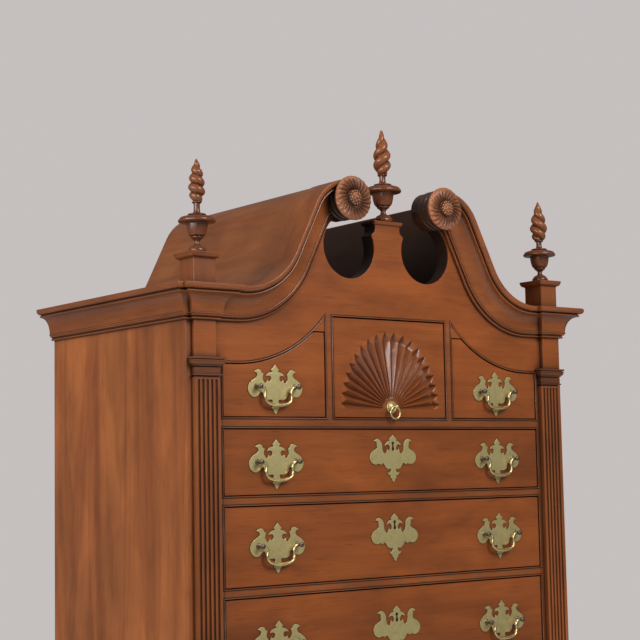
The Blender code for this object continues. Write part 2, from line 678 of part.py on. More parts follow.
def finials(chest):
    """Two side finials on their plinths and the larger one in the middle."""
    seat = CROWN_TOP + PLINTH_H + GAP
    for side in (-1, 1):
        finial(f"finial_{side_name(side)}", chest, side * PILASTER_X, PLINTH_DEPTH / 2 - BREAK,
               seat, SIDE_FINIAL_H, 1)
    finial("finial_center", chest, 0.0, CENTER_FINIAL_Y,
           CROWN_Z + CENTER_PLINTH_H + GAP, CENTER_FINIAL_H, -1)


def lower_case(chest):
    """Swelled sides, back, dust boards, waist and base mouldings and feet."""
    for side in (-1, 1):
        rings = []
        for z in levels(BASE_TOP + GAP, LOWER_TOP - GAP):
            inner = side * lower_inner_x(z)
            outer = inner + side * LOWER_SIDE_T
            front = lower_face_y(z)
            rings.append([(inner, front, z), (outer, front, z), (outer, CASE_DEPTH, z),
                          (inner, CASE_DEPTH, z)])
        piece(f"lower_side_{side_name(side)}", loft(rings), chest, CHERRY)
    def inside(z):
        return lower_inner_x(z) - GAP
    piece("lower_back", swelled(BASE_TOP + GAP, LOWER_TOP - GAP, inside, lambda z: BACK_IN_Y, CASE_DEPTH),
          chest, PINE)
    z = BASE_TOP
    for number, height in reversed(list(enumerate(LOWER_HEIGHTS[1:], start=1))):
        z += height
        piece(f"lower_dust_board_{number}",
              swelled(z, z + RAIL_H, inside, lower_face_y, BACK_IN_Y - GAP), chest, CHERRY)
        z += RAIL_H
    waist_moulding(chest)
    base_moulding(chest)
    feet(chest)


def waist_moulding(chest):
    """Top board of the lower case with the moulding that the upper case stands in."""
    half, face, out = LOWER_HALF_W, LOWER_FACE_Y, WAIST_OUT
    ring_half, ring_face = UPPER_HALF_W + WAIST_RING_OUT, -WAIST_RING_OUT
    rows = [(LOWER_TOP, half, face), (LOWER_TOP + WAIST_T * 0.2, half + out * 0.4, face - out * 0.4),
            (LOWER_TOP + WAIST_T * 0.4, half + out * 0.9, face - out * 0.9),
            (LOWER_TOP + WAIST_T * 0.6, half + out, face - out),
            (LOWER_TOP + WAIST_T * 0.85, half + out, face - out),
            (WAIST_TOP, half + out * 0.6, face - out * 0.6),
            (WAIST_TOP + WAIST_RING_H * 0.15, ring_half + (half - ring_half) * 0.5,
             ring_face + (face - ring_face) * 0.5),
            (WAIST_TOP + WAIST_RING_H * 0.7, ring_half, ring_face),
            (WAIST_TOP + WAIST_RING_H, ring_half, ring_face)]
    item = solid("waist_moulding", rectangles(rows))
    well = UPPER_HALF_W + GAP
    combine(item, block(-well, well, -GAP, CASE_DEPTH * 2, WAIST_TOP, UPPER_FLOOR + BOTTOM_T), "DIFFERENCE")
    finish_piece(item, chest, CHERRY)


def base_moulding(chest):
    """Bottom board of the lower case with its moulded edge."""
    half, face, out = LOWER_HALF_W, LOWER_FACE_Y, BASE_OUT
    rows = [(FOOT_H, half + out, face - out), (FOOT_H + BASE_T * 0.4, half + out, face - out),
            (FOOT_H + BASE_T * 0.5, half + out * 0.8, face - out * 0.8),
            (FOOT_H + BASE_T * 0.75, half + out * 0.45, face - out * 0.45),
            (BASE_TOP, half + out * 0.2, face - out * 0.2)]
    piece("base_moulding", rectangles(rows), chest, CHERRY)


def feet(chest):
    """Ogee bracket feet: two wings that meet in a mitred corner."""
    steps = 8
    corner_x = LOWER_HALF_W + BASE_OUT * 0.5
    for side in (-1, 1):
        for place, corner_y, inward in (("front", LOWER_FACE_Y - BASE_OUT * 0.5, 1),
                                        ("rear", CASE_DEPTH, -1)):
            rings = []
            for i in range(steps + 1):
                share = i / steps
                ogee = FOOT_OGEE * math.cos(2 * math.pi * (share - 0.72) / 0.8)
                wing = FOOT_ANKLE_L + (FOOT_WING_L - FOOT_ANKLE_L) * share ** 3
                x = corner_x + ogee
                y = corner_y - (ogee if place == "front" else 0.0)
                plan = [(x, y), (x - wing, y), (x - wing, y + inward * FOOT_T),
                        (x - FOOT_T, y + inward * FOOT_T), (x - FOOT_T, y + inward * wing),
                        (x, y + inward * wing)]
                rings.append([(side * px, py, share * (FOOT_H - GAP)) for px, py in plan])
            piece(f"foot_{place}_{side_name(side)}", loft(rings), chest, CHERRY)


def tray(item, x_low, x_high, y_front, z_floor, height, front_t):
    """Join an open drawer tray to the back of a drawer front."""
    low = z_floor + TRAY_LIFT
    top = z_floor + height * TRAY_SHARE
    y_back = BACK_IN_Y - TRAY_BACK_SPACE
    combine(item, block(x_low, x_high, y_front + front_t / 2, y_back, low, top), "UNION")
    combine(item, block(x_low + TRAY_SIDE_T, x_high - TRAY_SIDE_T, y_front + front_t + TRAY_FACE_T,
                        y_back - TRAY_SIDE_T, low + TRAY_BOTTOM_T, top + height), "DIFFERENCE")


def post_shape(x, z, y_root, y_face, radius, knob):
    """A pull's post: round stem from inside the front to a rounded knob."""
    neck = y_face - BAIL_OFF - BAIL_END_R - GAP
    rows = [(y_root, radius), (neck, radius), (neck - KNOB_T * 0.15, knob),
            (neck - KNOB_T * 0.65, knob), (neck - KNOB_T, knob * 0.55)]
    return turned_y(x, z, rows, POST_SIDES)


def bail_rings(points, radii):
    """Square-to-path rings of a bent wire whose path lies in the x-z plane."""
    rings = []
    sides = 6
    for i, (x, z) in enumerate(points):
        before = points[max(i - 1, 0)]
        after = points[min(i + 1, len(points) - 1)]
        along = math.atan2(after[1] - before[1], after[0] - before[0])
        if i in (0, len(points) - 1):
            along = 0.0 if after[0] > before[0] else math.pi
        ring = []
        for k in range(sides):
            angle = 2 * math.pi * (k + 0.5) / sides
            across = radii[i] * math.cos(angle)
            ring.append((x - across * math.sin(along), radii[i] * math.sin(angle),
                         z + across * math.cos(along)))
        rings.append(ring)
    return rings


def bail(name, chest, x, y, z, lean):
    """Swinging bail between two posts; lean tips it out to lie along a sloping face."""
    end = POST_HALF_SPAN - POST_R - GAP
    half = [(end, 0.0), (end - 0.004, -0.0002), (BAIL_WAIST + 0.001, -BAIL_DROP * 0.14),
            (BAIL_WAIST, -BAIL_DROP * 0.42), (BAIL_WAIST - 0.003, -BAIL_DROP * 0.70),
            (BAIL_WAIST * 0.62, -BAIL_DROP * 0.93)]
    points = [(-px, pz) for px, pz in half] + [(0.0, -BAIL_DROP)] + list(reversed(half))
    radii = []
    for px, _ in points:
        radii.append(BAIL_END_R + (BAIL_MID_R - BAIL_END_R) * (1 - abs(px) / end))
    rings = bail_rings(points, radii)
    swing(name, chest, rings, x, y, z, lean)


def ring_pull(name, chest, x, y, z):
    """Drop ring, open at the top where its ends meet the post."""
    reach = RING_POST_R + GAP
    opening = math.degrees(math.asin(reach / RING_R))
    loop = arc(0.0, 0.0, RING_R, RING_R, 90 + opening, 450 - opening, 18)
    drop = loop[0][1]
    points = [(px, pz - drop) for px, pz in loop]
    rings = bail_rings(points, [BAIL_END_R] * len(points))
    swing(name, chest, rings, x, y, z, 0.0)


def swing(name, chest, rings, x, y, z, lean):
    """Place a bail's rings on its axis, tipped out by its lean."""
    cos, sin = math.cos(lean), math.sin(lean)
    placed = [[(x + px, y + py * cos + pz * sin, z + pz * cos - py * sin) for px, py, pz in ring]
              for ring in rings]
    piece(name, loft(placed), chest, BRASS, (x, y, z))


def add_pulls(item, chest, places, face_at, root, lean_at):
    """Put posts on a drawer front and hang a bail between each pair: places are (name, x, z)."""
    for name, x, z in places:
        face = face_at(z)
        for end in (-1, 1):
            combine(item, post_shape(x + end * POST_HALF_SPAN, z, face + root, face, POST_R, KNOB_R), "UNION")
        bail(name, chest, x, face - BAIL_OFF, z, lean_at(z))


def upper_drawers(chest):
    """Long drawers of the upper case, with two pulls each."""
    half = OPENING_HALF_W - DRAWER_GAP
    z = UPPER_FLOOR
    for number, height in reversed(list(enumerate(LONG_HEIGHTS, start=1))):
        floor = z + GAP
        item = solid(f"upper_drawer_{number}",
                     block(-half, half, 0, FRONT_T, floor, z + height - DRAWER_GAP))
        tray(item, TRAY_GAP - half, half - TRAY_GAP, 0, floor, height, FRONT_T)
        places = [(f"bail_upper_{number}_{side_name(side)}", side * PULL_X, z + height / 2)
                  for side in (-1, 1)]
        add_pulls(item, chest, places, lambda z: 0.0, FRONT_T / 2, lambda z: 0.0)
        finish_piece(item, chest, CHERRY_FRONT, (0.0, 0.0, z + height / 2))
        z += height + RAIL_H


def small_drawers(chest):
    """Arched small drawers beside the fan drawer."""
    floor = TIER_FLOOR + GAP
    inner, outer = DIVIDER_OUT_X + DRAWER_GAP, OPENING_HALF_W - DRAWER_GAP
    arch = arch_points(-DRAWER_GAP, SMALL_CLIP_H)
    front = [(inner, floor), (outer, floor), (outer, arch[-1][1])] + list(reversed(arch))
    front.append((inner, arch[0][1]))
    for side in (-1, 1):
        name = side_name(side)
        item = solid(f"small_drawer_{name}", board(flipped(front, side), 0, FRONT_T))
        low, high = sorted((side * (inner + TRAY_GAP), side * (outer - TRAY_GAP)))
        tray(item, low, high, 0, floor, SMALL_H, FRONT_T)
        z = TIER_FLOOR + SMALL_PULL_H
        add_pulls(item, chest, [(f"bail_small_{name}", side * PULL_X, z)], lambda z: 0.0,
                  FRONT_T / 2, lambda z: 0.0)
        finish_piece(item, chest, CHERRY_FRONT, (side * PULL_X, 0.0, z))


def fan_drawer(chest):
    """Middle drawer with the sunk fan and its ring pull."""
    floor = TIER_FLOOR + GAP
    half = FAN_HALF_W - DRAWER_GAP
    item = solid("fan_drawer",
                 block(-half, half, 0, FRONT_T, floor, TIER_FLOOR + FAN_H - DRAWER_GAP))
    tray(item, TRAY_GAP - half, half - TRAY_GAP, 0, floor, FAN_H, FRONT_T)
    hub_z = TIER_FLOOR + FAN_SEAT
    def half_oval(rx, rz, y):
        return [(x, y, z) for x, z in arc(0.0, hub_z, rx, rz, 0, 180, 20)]
    hub = FAN_HUB_R
    combine(item, loft([half_oval(FAN_HALF_SPAN, FAN_RISE, -FRONT_T),
                        half_oval(FAN_HALF_SPAN, FAN_RISE, FAN_SINK),
                        half_oval(hub, hub, FAN_SINK * 0.15)]), "DIFFERENCE")
    ring_z = hub_z + RING_POST_R * 1.2
    combine(item, post_shape(0.0, ring_z, FRONT_T / 2, 0.0, RING_POST_R, RING_POST_R * 1.3), "UNION")
    ring_pull("fan_ring", chest, 0.0, -BAIL_OFF, ring_z)
    finish_piece(item, chest, CHERRY_FRONT, (0.0, 0.0, ring_z))


def lower_drawers(chest):
    """Swelled drawers of the lower case."""
    def half_width(z):
        return lower_inner_x(z) - DRAWER_GAP
    def lean_at(z):
        reach = BAIL_DROP + BAIL_OFF
        return max(0.0, math.atan((lower_face_y(z) - lower_face_y(z - reach)) / reach))
    straight = LOWER_HALF_W - LOWER_SIDE_T - DRAWER_GAP - TRAY_GAP
    back = LOWER_FACE_Y + LOWER_FRONT_T
    z = BASE_TOP
    for number, height in reversed(list(enumerate(LOWER_HEIGHTS, start=1))):
        floor = z + GAP
        item = solid(f"lower_drawer_{number}",
                     swelled(floor, z + height - DRAWER_GAP, half_width, lower_face_y, back))
        tray(item, -straight, straight, LOWER_FACE_Y, floor, height, LOWER_FRONT_T)
        places = [(f"bail_lower_{number}_{side_name(side)}", side * PULL_X, z + height / 2)
                  for side in (-1, 1)]
        add_pulls(item, chest, places, lower_face_y, LOWER_FRONT_T / 2, lean_at)
        finish_piece(item, chest, CHERRY_FRONT, (0.0, LOWER_FACE_Y, z + height / 2))
        z += height + RAIL_H


def center_chest(chest):
    """Move the chest so that its box is centred front to back on the origin."""
    bpy.context.view_layer.update()
    depths = [(item.matrix_world @ vertex.co).y for item in bpy.data.objects if item.type == "MESH"
              for vertex in item.data.vertices]
    chest.location.y = -(min(depths) + max(depths)) / 2
    bpy.context.view_layer.update()


def main():
    """Build the whole chest."""
    clear_scene()
    chest = bpy.data.objects.new("chest", None)
    bpy.context.collection.objects.link(chest)
    lower_case(chest)
    lower_drawers(chest)
    upper_case(chest)
    upper_drawers(chest)
    small_drawers(chest)
    fan_drawer(chest)
    tympanum(chest)
    bonnet(chest)
    crown_moulding(chest)
    rosettes(chest)
    pilasters(chest)
    plinths(chest)
    finials(chest)
    center_chest(chest)


main()
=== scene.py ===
"""Looks of the bombe chest-on-chest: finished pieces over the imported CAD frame."""

import json
import logging
import math
from abc import ABC, abstractmethod
from contextlib import contextmanager
from dataclasses import dataclass, replace
from enum import Enum
from typing import Callable, Iterator, Sequence

import bpy
from mathutils import Matrix, Vector

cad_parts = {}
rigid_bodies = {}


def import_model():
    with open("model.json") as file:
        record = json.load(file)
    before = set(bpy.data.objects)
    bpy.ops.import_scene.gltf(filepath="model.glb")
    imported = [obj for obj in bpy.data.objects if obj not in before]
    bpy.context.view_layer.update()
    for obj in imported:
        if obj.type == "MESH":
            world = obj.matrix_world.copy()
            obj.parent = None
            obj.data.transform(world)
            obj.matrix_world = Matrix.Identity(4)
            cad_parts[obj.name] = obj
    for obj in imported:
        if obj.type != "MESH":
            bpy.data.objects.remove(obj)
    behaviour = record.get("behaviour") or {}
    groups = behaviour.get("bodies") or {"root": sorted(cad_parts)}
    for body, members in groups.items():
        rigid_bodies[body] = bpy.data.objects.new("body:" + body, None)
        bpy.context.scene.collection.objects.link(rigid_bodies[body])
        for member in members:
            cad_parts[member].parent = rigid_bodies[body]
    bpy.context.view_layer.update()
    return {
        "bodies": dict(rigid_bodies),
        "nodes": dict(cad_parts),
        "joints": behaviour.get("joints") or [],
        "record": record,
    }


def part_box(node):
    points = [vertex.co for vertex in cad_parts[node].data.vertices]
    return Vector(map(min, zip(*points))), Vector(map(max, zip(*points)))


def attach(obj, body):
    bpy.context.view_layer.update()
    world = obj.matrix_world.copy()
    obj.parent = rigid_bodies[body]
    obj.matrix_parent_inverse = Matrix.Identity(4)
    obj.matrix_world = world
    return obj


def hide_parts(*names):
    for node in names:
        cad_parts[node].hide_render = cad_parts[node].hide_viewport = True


LOG = logging.getLogger("chest")

Point = tuple[float, float]
Place = tuple[float, float, float]
Colour = tuple[float, float, float]
Piece = bpy.types.Object
Socket = bpy.types.NodeSocket
Sockets = bpy.types.bpy_prop_collection

FORWARD: Place = (0.0, -1.0, 0.0)
UPWARD: Place = (0.0, 0.0, 1.0)
SEAM = 0.0003  # hairline between boards that meet
PLAY = 0.0012  # clearance round a drawer front
BREAK = 0.010  # how far the pilasters stand out of the face
CROWN_H = 0.0664  # height of the crown moulding
FAN_H = 0.2059  # height of the fan drawer's opening
SIDE_T = 0.020  # thickness of the upper sides
LOWER_T = 0.030  # thickness of the lower sides
CAP_OUT = 0.0085  # overhang of a plinth's cap
PULL_SHARE = 0.706  # place of a pull in the half opening


class Side(Enum):
    """The two sides of the chest, seen from the front."""

    LEFT = -1
    RIGHT = 1

    @property
    def label(self) -> str:
        """Return the side's name as the CAD nodes spell it."""
        return self.name.lower()

    def span(self, inner: float, outer: float) -> list[float]:
        """Return two distances from the middle as the lowest and highest x on this side."""
        return sorted((self.value * inner, self.value * outer))

    def laid(self, outline: Sequence[Point]) -> list[Point]:
        """Return a right-hand outline, its x first, as it lies on this side."""
        return [(self.value * x, other) for x, other in outline]


class Grain(Enum):
    """Way the wood fibres run, as the turn that lays them along x."""

    ACROSS = (0.0, 0.0, 0.0)
    DEPTH = (0.0, 0.0, -math.pi / 2)
    UPRIGHT = (0.0, math.pi / 2, 0.0)


def arc(center: Point, radii: Point, start: float, end: float, steps: int) -> list[Point]:
    """Points of an elliptical arc.

    Args:
        center: Middle of the ellipse.
        radii: Its two half axes.
        start: First angle in degrees.
        end: Last angle in degrees.
        steps: Number of chords.

    Returns:
        The points from start to end.
    """
    turns = [math.radians(start + (end - start) * i / steps) for i in range(steps + 1)]
    return [(center[0] + radii[0] * math.cos(t), center[1] + radii[1] * math.sin(t)) for t in turns]


def rectangle(half: float, low: float, high: float) -> list[Point]:
    """Return a rectangle about the middle, from one height to another."""
    return [(-half, low), (half, low), (half, high), (-half, high)]


def eased(points: Sequence[Point], steps: int) -> list[Point]:
    """Round a line through its points with a Catmull-Rom curve.

    Args:
        points: The points to pass through.
        steps: Chords between two points.

    Returns:
        The rounded line, first and last points included.
    """
    line = [Vector(p) for p in points]
    line = [line[0] * 2 - line[1], *line, line[-1] * 2 - line[-2]]
    rounded = []
    for a, b, c, d in zip(line, line[1:], line[2:], line[3:]):
        for i in range(steps):
            t = i / steps
            bend = (b * 2 + (c - a) * t + (a * 2 - b * 5 + c * 4 - d) * t * t
                    + (b * 3 - a - c * 3 + d) * t ** 3) / 2
            rounded.append((bend.x, bend.y))
    return rounded + [tuple(points[-1])]


class Bench:
    """The modelling bench: Blender's operators, used on one piece at a time."""

    @staticmethod
    def grab(piece: Piece) -> None:
        """Make one piece the only selected one.

        Args:
            piece: The piece.
        """
        bpy.ops.object.select_all(action="DESELECT")
        piece.select_set(True)
        bpy.context.view_layer.objects.active = piece

    @staticmethod
    def named(name: str) -> Piece:
        """Name the piece just added and lay its place into its mesh.

        Args:
            name: Piece name.

        Returns:
            The piece.
        """
        piece = bpy.context.object
        piece.name = piece.data.name = name
        bpy.ops.object.transform_apply(location=True, rotation=True, scale=True)
        return piece

    @staticmethod
    @contextmanager
    def editing(piece: Piece) -> Iterator[None]:
        """Work in edit mode on the whole of a piece.

        Args:
            piece: The piece.
        """
        Bench.grab(piece)
        bpy.ops.object.mode_set(mode="EDIT")
        bpy.ops.mesh.select_all(action="SELECT")
        yield
        bpy.ops.object.mode_set(mode="OBJECT")

    @staticmethod
    @contextmanager
    def edges(piece: Piece, wanted: Callable[[bpy.types.MeshEdge], bool]) -> Iterator[None]:
        """Work in edit mode on the edges that a rule picks.

        Args:
            piece: The piece.
            wanted: True for an edge to work on.
        """
        with Bench.editing(piece):
            bpy.ops.mesh.select_mode(type="EDGE")
            bpy.ops.mesh.select_all(action="DESELECT")
        for edge in piece.data.edges:
            edge.select = wanted(edge)
        bpy.ops.object.mode_set(mode="EDIT")
        yield
        bpy.ops.mesh.select_mode(type="VERT")
        bpy.ops.object.mode_set(mode="OBJECT")

    @staticmethod
    def tidy(piece: Piece) -> Piece:
        """Merge seams, close holes and turn every face outwards.

        Args:
            piece: The piece.

        Returns:
            The piece.
        """
        with Bench.editing(piece):
            bpy.ops.mesh.remove_doubles(threshold=1e-6)
            bpy.ops.mesh.fill_holes(sides=0)
            bpy.ops.mesh.normals_make_consistent(inside=False)
        return piece

    @staticmethod
    def block(name: str, low: Place, high: Place) -> Piece:
        """Add a cube that fills a box.

        Args:
            name: Piece name.
            low: Lowest corner.
            high: Highest corner.

        Returns:
            The block.
        """
        bpy.ops.object.select_all(action="DESELECT")
        middle = [(a + b) / 2 for a, b in zip(low, high)]
        bpy.ops.mesh.primitive_cube_add(size=1.0, location=middle)
        bpy.context.object.scale = [b - a for a, b in zip(low, high)]
        return Bench.named(name)

    @staticmethod
    def ring(name: str, corners: Sequence[Place]) -> Piece:
        """Add a filled circle and pull its corners to an outline.

        Args:
            name: Piece name.
            corners: The outline's corners in order.

        Returns:
            The flat piece.
        """
        bpy.ops.object.select_all(action="DESELECT")
        bpy.ops.mesh.primitive_circle_add(vertices=len(corners), fill_type="NGON")
        piece = Bench.named(name)
        for vertex, corner in zip(piece.data.vertices, corners):
            vertex.co = corner
        return piece

    @staticmethod
    def board(name: str, outline: Sequence[Point], front: float, back: float) -> Piece:
        """Saw a board to an (x, z) outline: a ring extruded front to back.

        Args:
            name: Piece name.
            outline: Closed outline.
            front: Front plane, y.
            back: Rear plane, y.

        Returns:
            The board.
        """
        piece = Bench.ring(name, [(x, front, z) for x, z in outline])
        with Bench.editing(piece):
            bpy.ops.mesh.extrude_region_move(TRANSFORM_OT_translate={"value": (0, back - front, 0)})
        return Bench.tidy(piece)

    @staticmethod
    def skin(name: str, columns: int, rows: int, place: Callable[[float, float], Place]) -> Piece:
        """Wrap a grid over a surface.

        Args:
            name: Piece name.
            columns: Faces along u.
            rows: Faces along v.
            place: Gives the point at (u, v), each from 0 to 1.

        Returns:
            The closed piece.
        """
        bpy.ops.object.select_all(action="DESELECT")
        bpy.ops.mesh.primitive_grid_add(x_subdivisions=columns, y_subdivisions=rows, size=1.0)
        piece = Bench.named(name)
        for vertex in piece.data.vertices:
            vertex.co = place(vertex.co.x + 0.5, vertex.co.y + 0.5)
        return Bench.tidy(piece)

    @staticmethod
    def loft(name: str, rings: Sequence[Sequence[Place]]) -> Piece:
        """Wrap a grid over rings of equal length and cap its ends.

        Args:
            name: Piece name.
            rings: Rings from one end to the other.

        Returns:
            The closed piece.
        """
        around, along = len(rings[0]), len(rings) - 1
        return Bench.skin(name, around, along,
                          lambda u, v: rings[round(v * along)][round(u * around) % around])

    @staticmethod
    def lathe(name: str, profile: Sequence[Point], center: Place, axis: Place, steps: int = 48) -> Piece:
        """Turn a (radius, height) profile about an axis through its centre.

        Args:
            name: Piece name.
            profile: Line from the axis, round the outside and back to the axis.
            center: Point on the axis at height 0.
            axis: Way of increasing height, along y or z.
            steps: Facets round the axis.

        Returns:
            The turned piece.
        """
        along, out = Vector(axis), Vector((1.0, 0.0, 0.0))
        piece = Bench.ring(name, [Vector(center) + out * r + along * h for r, h in profile])
        with Bench.editing(piece):
            bpy.ops.mesh.delete(type="ONLY_FACE")
        ends = {0, len(profile) - 1}
        with Bench.edges(piece, lambda edge: set(edge.vertices) == ends):
            bpy.ops.mesh.delete(type="EDGE")
        with Bench.editing(piece):
            bpy.ops.mesh.spin(steps=steps, angle=2 * math.pi, center=center, axis=axis)
        return Bench.tidy(piece)

    @staticmethod
    def curve(name: str, flat: bool, lines: Sequence[Sequence[Place]], closed: bool,
              corners: Sequence[int] = (), radii: Sequence[float] = (), depth: float = 0.0,
              bevel: float = 0.001) -> Piece:
        """Draw Bezier lines and turn them into a mesh.

        Args:
            name: Piece name.
            flat: True for a filled plate, False for wire.
            lines: Points of each line; a plate's later lines are holes.
            closed: True if the lines run round.
            corners: Points of the first line that stay sharp.
            radii: Share of the bevel at each point of a wire.
            depth: Half the plate's thickness between its bevels.
            bevel: Wire radius, or the bevel of a plate's edge.

        Returns:
            The meshed piece.
        """
        made = bpy.data.curves.new(name, "CURVE")
        made.dimensions = "2D" if flat else "3D"
        made.fill_mode = "BOTH" if flat else "FULL"
        made.resolution_u, made.bevel_resolution = 5, 1 if flat else 3
        made.extrude, made.bevel_depth = depth, bevel
        made.use_fill_caps = not flat
        for number, line in enumerate(lines):
            spline = made.splines.new("BEZIER")
            spline.bezier_points.add(len(line) - 1)
            spline.use_cyclic_u = closed
            for i, (knot, spot) in enumerate(zip(spline.bezier_points, line)):
                knot.co = spot
                sharp = number == 0 and i in corners
                knot.handle_left_type = knot.handle_right_type = "VECTOR" if sharp else "AUTO"
                knot.radius = radii[i] if radii else 1.0
        piece = bpy.data.objects.new(name, made)
        bpy.context.collection.objects.link(piece)
        Bench.grab(piece)
        bpy.ops.object.convert(target="MESH")
        piece = bpy.context.object
        piece.data.name = name
        return Bench.tidy(piece)

    @staticmethod
    def apply(piece: Piece, kind: str, **settings: object) -> Piece:
        """Add one modifier with its settings and apply it.

        Args:
            piece: The piece.
            kind: Modifier type.
            settings: The modifier's properties.

        Returns:
            The piece.
        """
        Bench.grab(piece)
        modifier = piece.modifiers.new(kind.lower(), kind)
        for key, value in settings.items():
            setattr(modifier, key, value)
        bpy.ops.object.modifier_apply(modifier=modifier.name)
        return piece

    @staticmethod
    def eased_edges(piece: Piece, width: float = 0.0009, segments: int = 2) -> Piece:
        """Round the sharp edges of a piece a little, as a plane leaves them."""
        return Bench.apply(piece, "BEVEL", width=width, segments=segments, limit_method="ANGLE",
                           angle_limit=math.radians(40), harden_normals=False)

    @staticmethod
    def combine(piece: Piece, other: Piece, operation: str = "DIFFERENCE") -> Piece:
        """Cut another piece out of a piece, or merge it in, and throw the other away.

        Args:
            piece: Piece that stays.
            other: Piece that is used up.
            operation: Boolean operation.

        Returns:
            The piece that stays.
        """
        Bench.apply(piece, "BOOLEAN", operation=operation, solver="EXACT", object=other)
        bpy.data.objects.remove(other)
        return piece

    @staticmethod
    def slice_up(piece: Piece, cuts: int) -> Piece:
        """Cut a block's upright edges into equal lengths.

        Args:
            piece: The piece.
            cuts: Cuts in each edge.

        Returns:
            The piece.
        """
        heights = [vertex.co.z for vertex in piece.data.vertices]
        with Bench.edges(piece, lambda edge: len({round(heights[i], 3) for i in edge.vertices}) > 1):
            bpy.ops.mesh.subdivide(number_cuts=cuts)
        return piece

    @staticmethod
    def shape(piece: Piece, move: Callable[[Vector], Place]) -> Piece:
        """Move every point of a piece to where a rule puts it.

        Args:
            piece: The piece.
            move: Gives a point's new place.

        Returns:
            The piece.
        """
        for vertex in piece.data.vertices:
            vertex.co = move(vertex.co.copy())
        piece.data.update()
        return piece

    @staticmethod
    def copied(piece: Piece, name: str, matrix: Matrix) -> Piece:
        """Copy a piece with its own mesh and put the copy in place.

        Args:
            piece: The piece.
            name: Name of the copy.
            matrix: Move or turn of the copy.

        Returns:
            The copy.
        """
        Bench.grab(piece)
        bpy.ops.object.duplicate(linked=False)
        twin = bpy.context.object
        twin.name = twin.data.name = name
        twin.data.transform(matrix)
        return twin

    @staticmethod
    def joined(name: str, pieces: Sequence[Piece]) -> Piece:
        """Join pieces into the first one and name it.

        Args:
            name: Name of the joined piece.
            pieces: At least one piece.

        Returns:
            The joined piece.
        """
        bpy.ops.object.select_all(action="DESELECT")
        for piece in pieces:
            piece.select_set(True)
        bpy.context.view_layer.objects.active = pieces[0]
        if len(pieces) > 1:
            bpy.ops.object.join()
        pieces[0].name = pieces[0].data.name = name
        return pieces[0]

    @staticmethod
    def smooth(piece: Piece, angle: float = 32.0) -> Piece:
        """Shade a piece smooth but for its sharp edges.

        Args:
            piece: The piece.
            angle: Edges sharper than this stay sharp, in degrees.

        Returns:
            The piece.
        """
        Bench.grab(piece)
        bpy.ops.object.shade_smooth_by_angle(angle=math.radians(angle))
        return Bench.apply(piece, "WEIGHTED_NORMAL", mode="FACE_AREA", weight=50, keep_sharp=True)


class Sheet:
    """A node tree as it is laid out."""

    def __init__(self, tree: bpy.types.NodeTree) -> None:
        """Start a sheet on a node tree."""
        self.tree = tree

    def feed(self, node: bpy.types.Node, inputs: dict[str | int, object]) -> None:
        """Give a node's inputs their values, or link the sockets that they take them from.

        Args:
            node: The node.
            inputs: Values or sockets by input.
        """
        for key, value in inputs.items():
            if isinstance(value, Socket):
                self.tree.links.new(value, node.inputs[key])
            else:
                node.inputs[key].default_value = value

    def add(self, kind: str, inputs: dict[str | int, object] | None = None,
            **settings: object) -> bpy.types.Node:
        """Add a node.

        Args:
            kind: Node type.
            inputs: Values or sockets for its inputs.
            settings: Its properties.

        Returns:
            The node.
        """
        node = self.tree.nodes.new(kind)
        for key, value in settings.items():
            setattr(node, key, value)
        self.feed(node, inputs or {})
        return node

    def noise(self, vector: Socket, scale: Place, detail: float, bend: float = 0.0) -> Socket:
        """Add noise stretched along its axes.

        Args:
            vector: Coordinates.
            scale: Waves along each axis.
            detail: Octaves.
            bend: Distortion.

        Returns:
            The value socket.
        """
        spread = self.add("ShaderNodeMapping", {"Vector": vector, "Scale": scale})
        grain = self.add("ShaderNodeTexNoise", {"Vector": spread.outputs[0], "Scale": 1.0, "Detail": detail,
                                                "Roughness": 0.55, "Distortion": bend})
        return grain.outputs[0]

    def sum(self, a: object, b: object, operation: str = "ADD") -> Socket:
        """Add a math node and return its value socket."""
        return self.add("ShaderNodeMath", {0: a, 1: b}, operation=operation).outputs[0]

    def swing(self, value: Socket, gain: object) -> Socket:
        """Return how far a value lies from its middle, times a gain."""
        return self.sum(self.sum(value, 0.5, "SUBTRACT"), gain, "MULTIPLY")

    def remap(self, value: Socket, low: float, high: float, first: float, last: float) -> Socket:
        """Map a range of values onto another, clamped."""
        return self.add("ShaderNodeMapRange", {"Value": value, "From Min": low, "From Max": high,
                                               "To Min": first, "To Max": last}).outputs[0]

    def openness(self, reach: float) -> Socket:
        """Return how open the surface lies within a reach: low in its corners."""
        return self.add("ShaderNodeAmbientOcclusion", {"Distance": reach}, samples=6).outputs["AO"]

    def blend(self, factor: object, a: object, b: object, kind: str = "MIX") -> Socket:
        """Mix two colours and return the colour socket."""
        node = self.add("ShaderNodeMix", {0: factor, 6: a, 7: b}, data_type="RGBA", blend_type=kind)
        return node.outputs[2]


SURFACE = {"Color": "Color", "Roughness": "Float", "Height": "Float"}
WOOD_INPUTS = {"Vector": "Vector", "Light": "Color", "Dark": "Color", "Vein": "Color",
               "Figure": "Float", "Rough": "Float", "Shade": "Float"}
BRASS_INPUTS = {"Vector": "Vector", "Bright": "Color", "Tarnish": "Color", "Rough": "Float"}


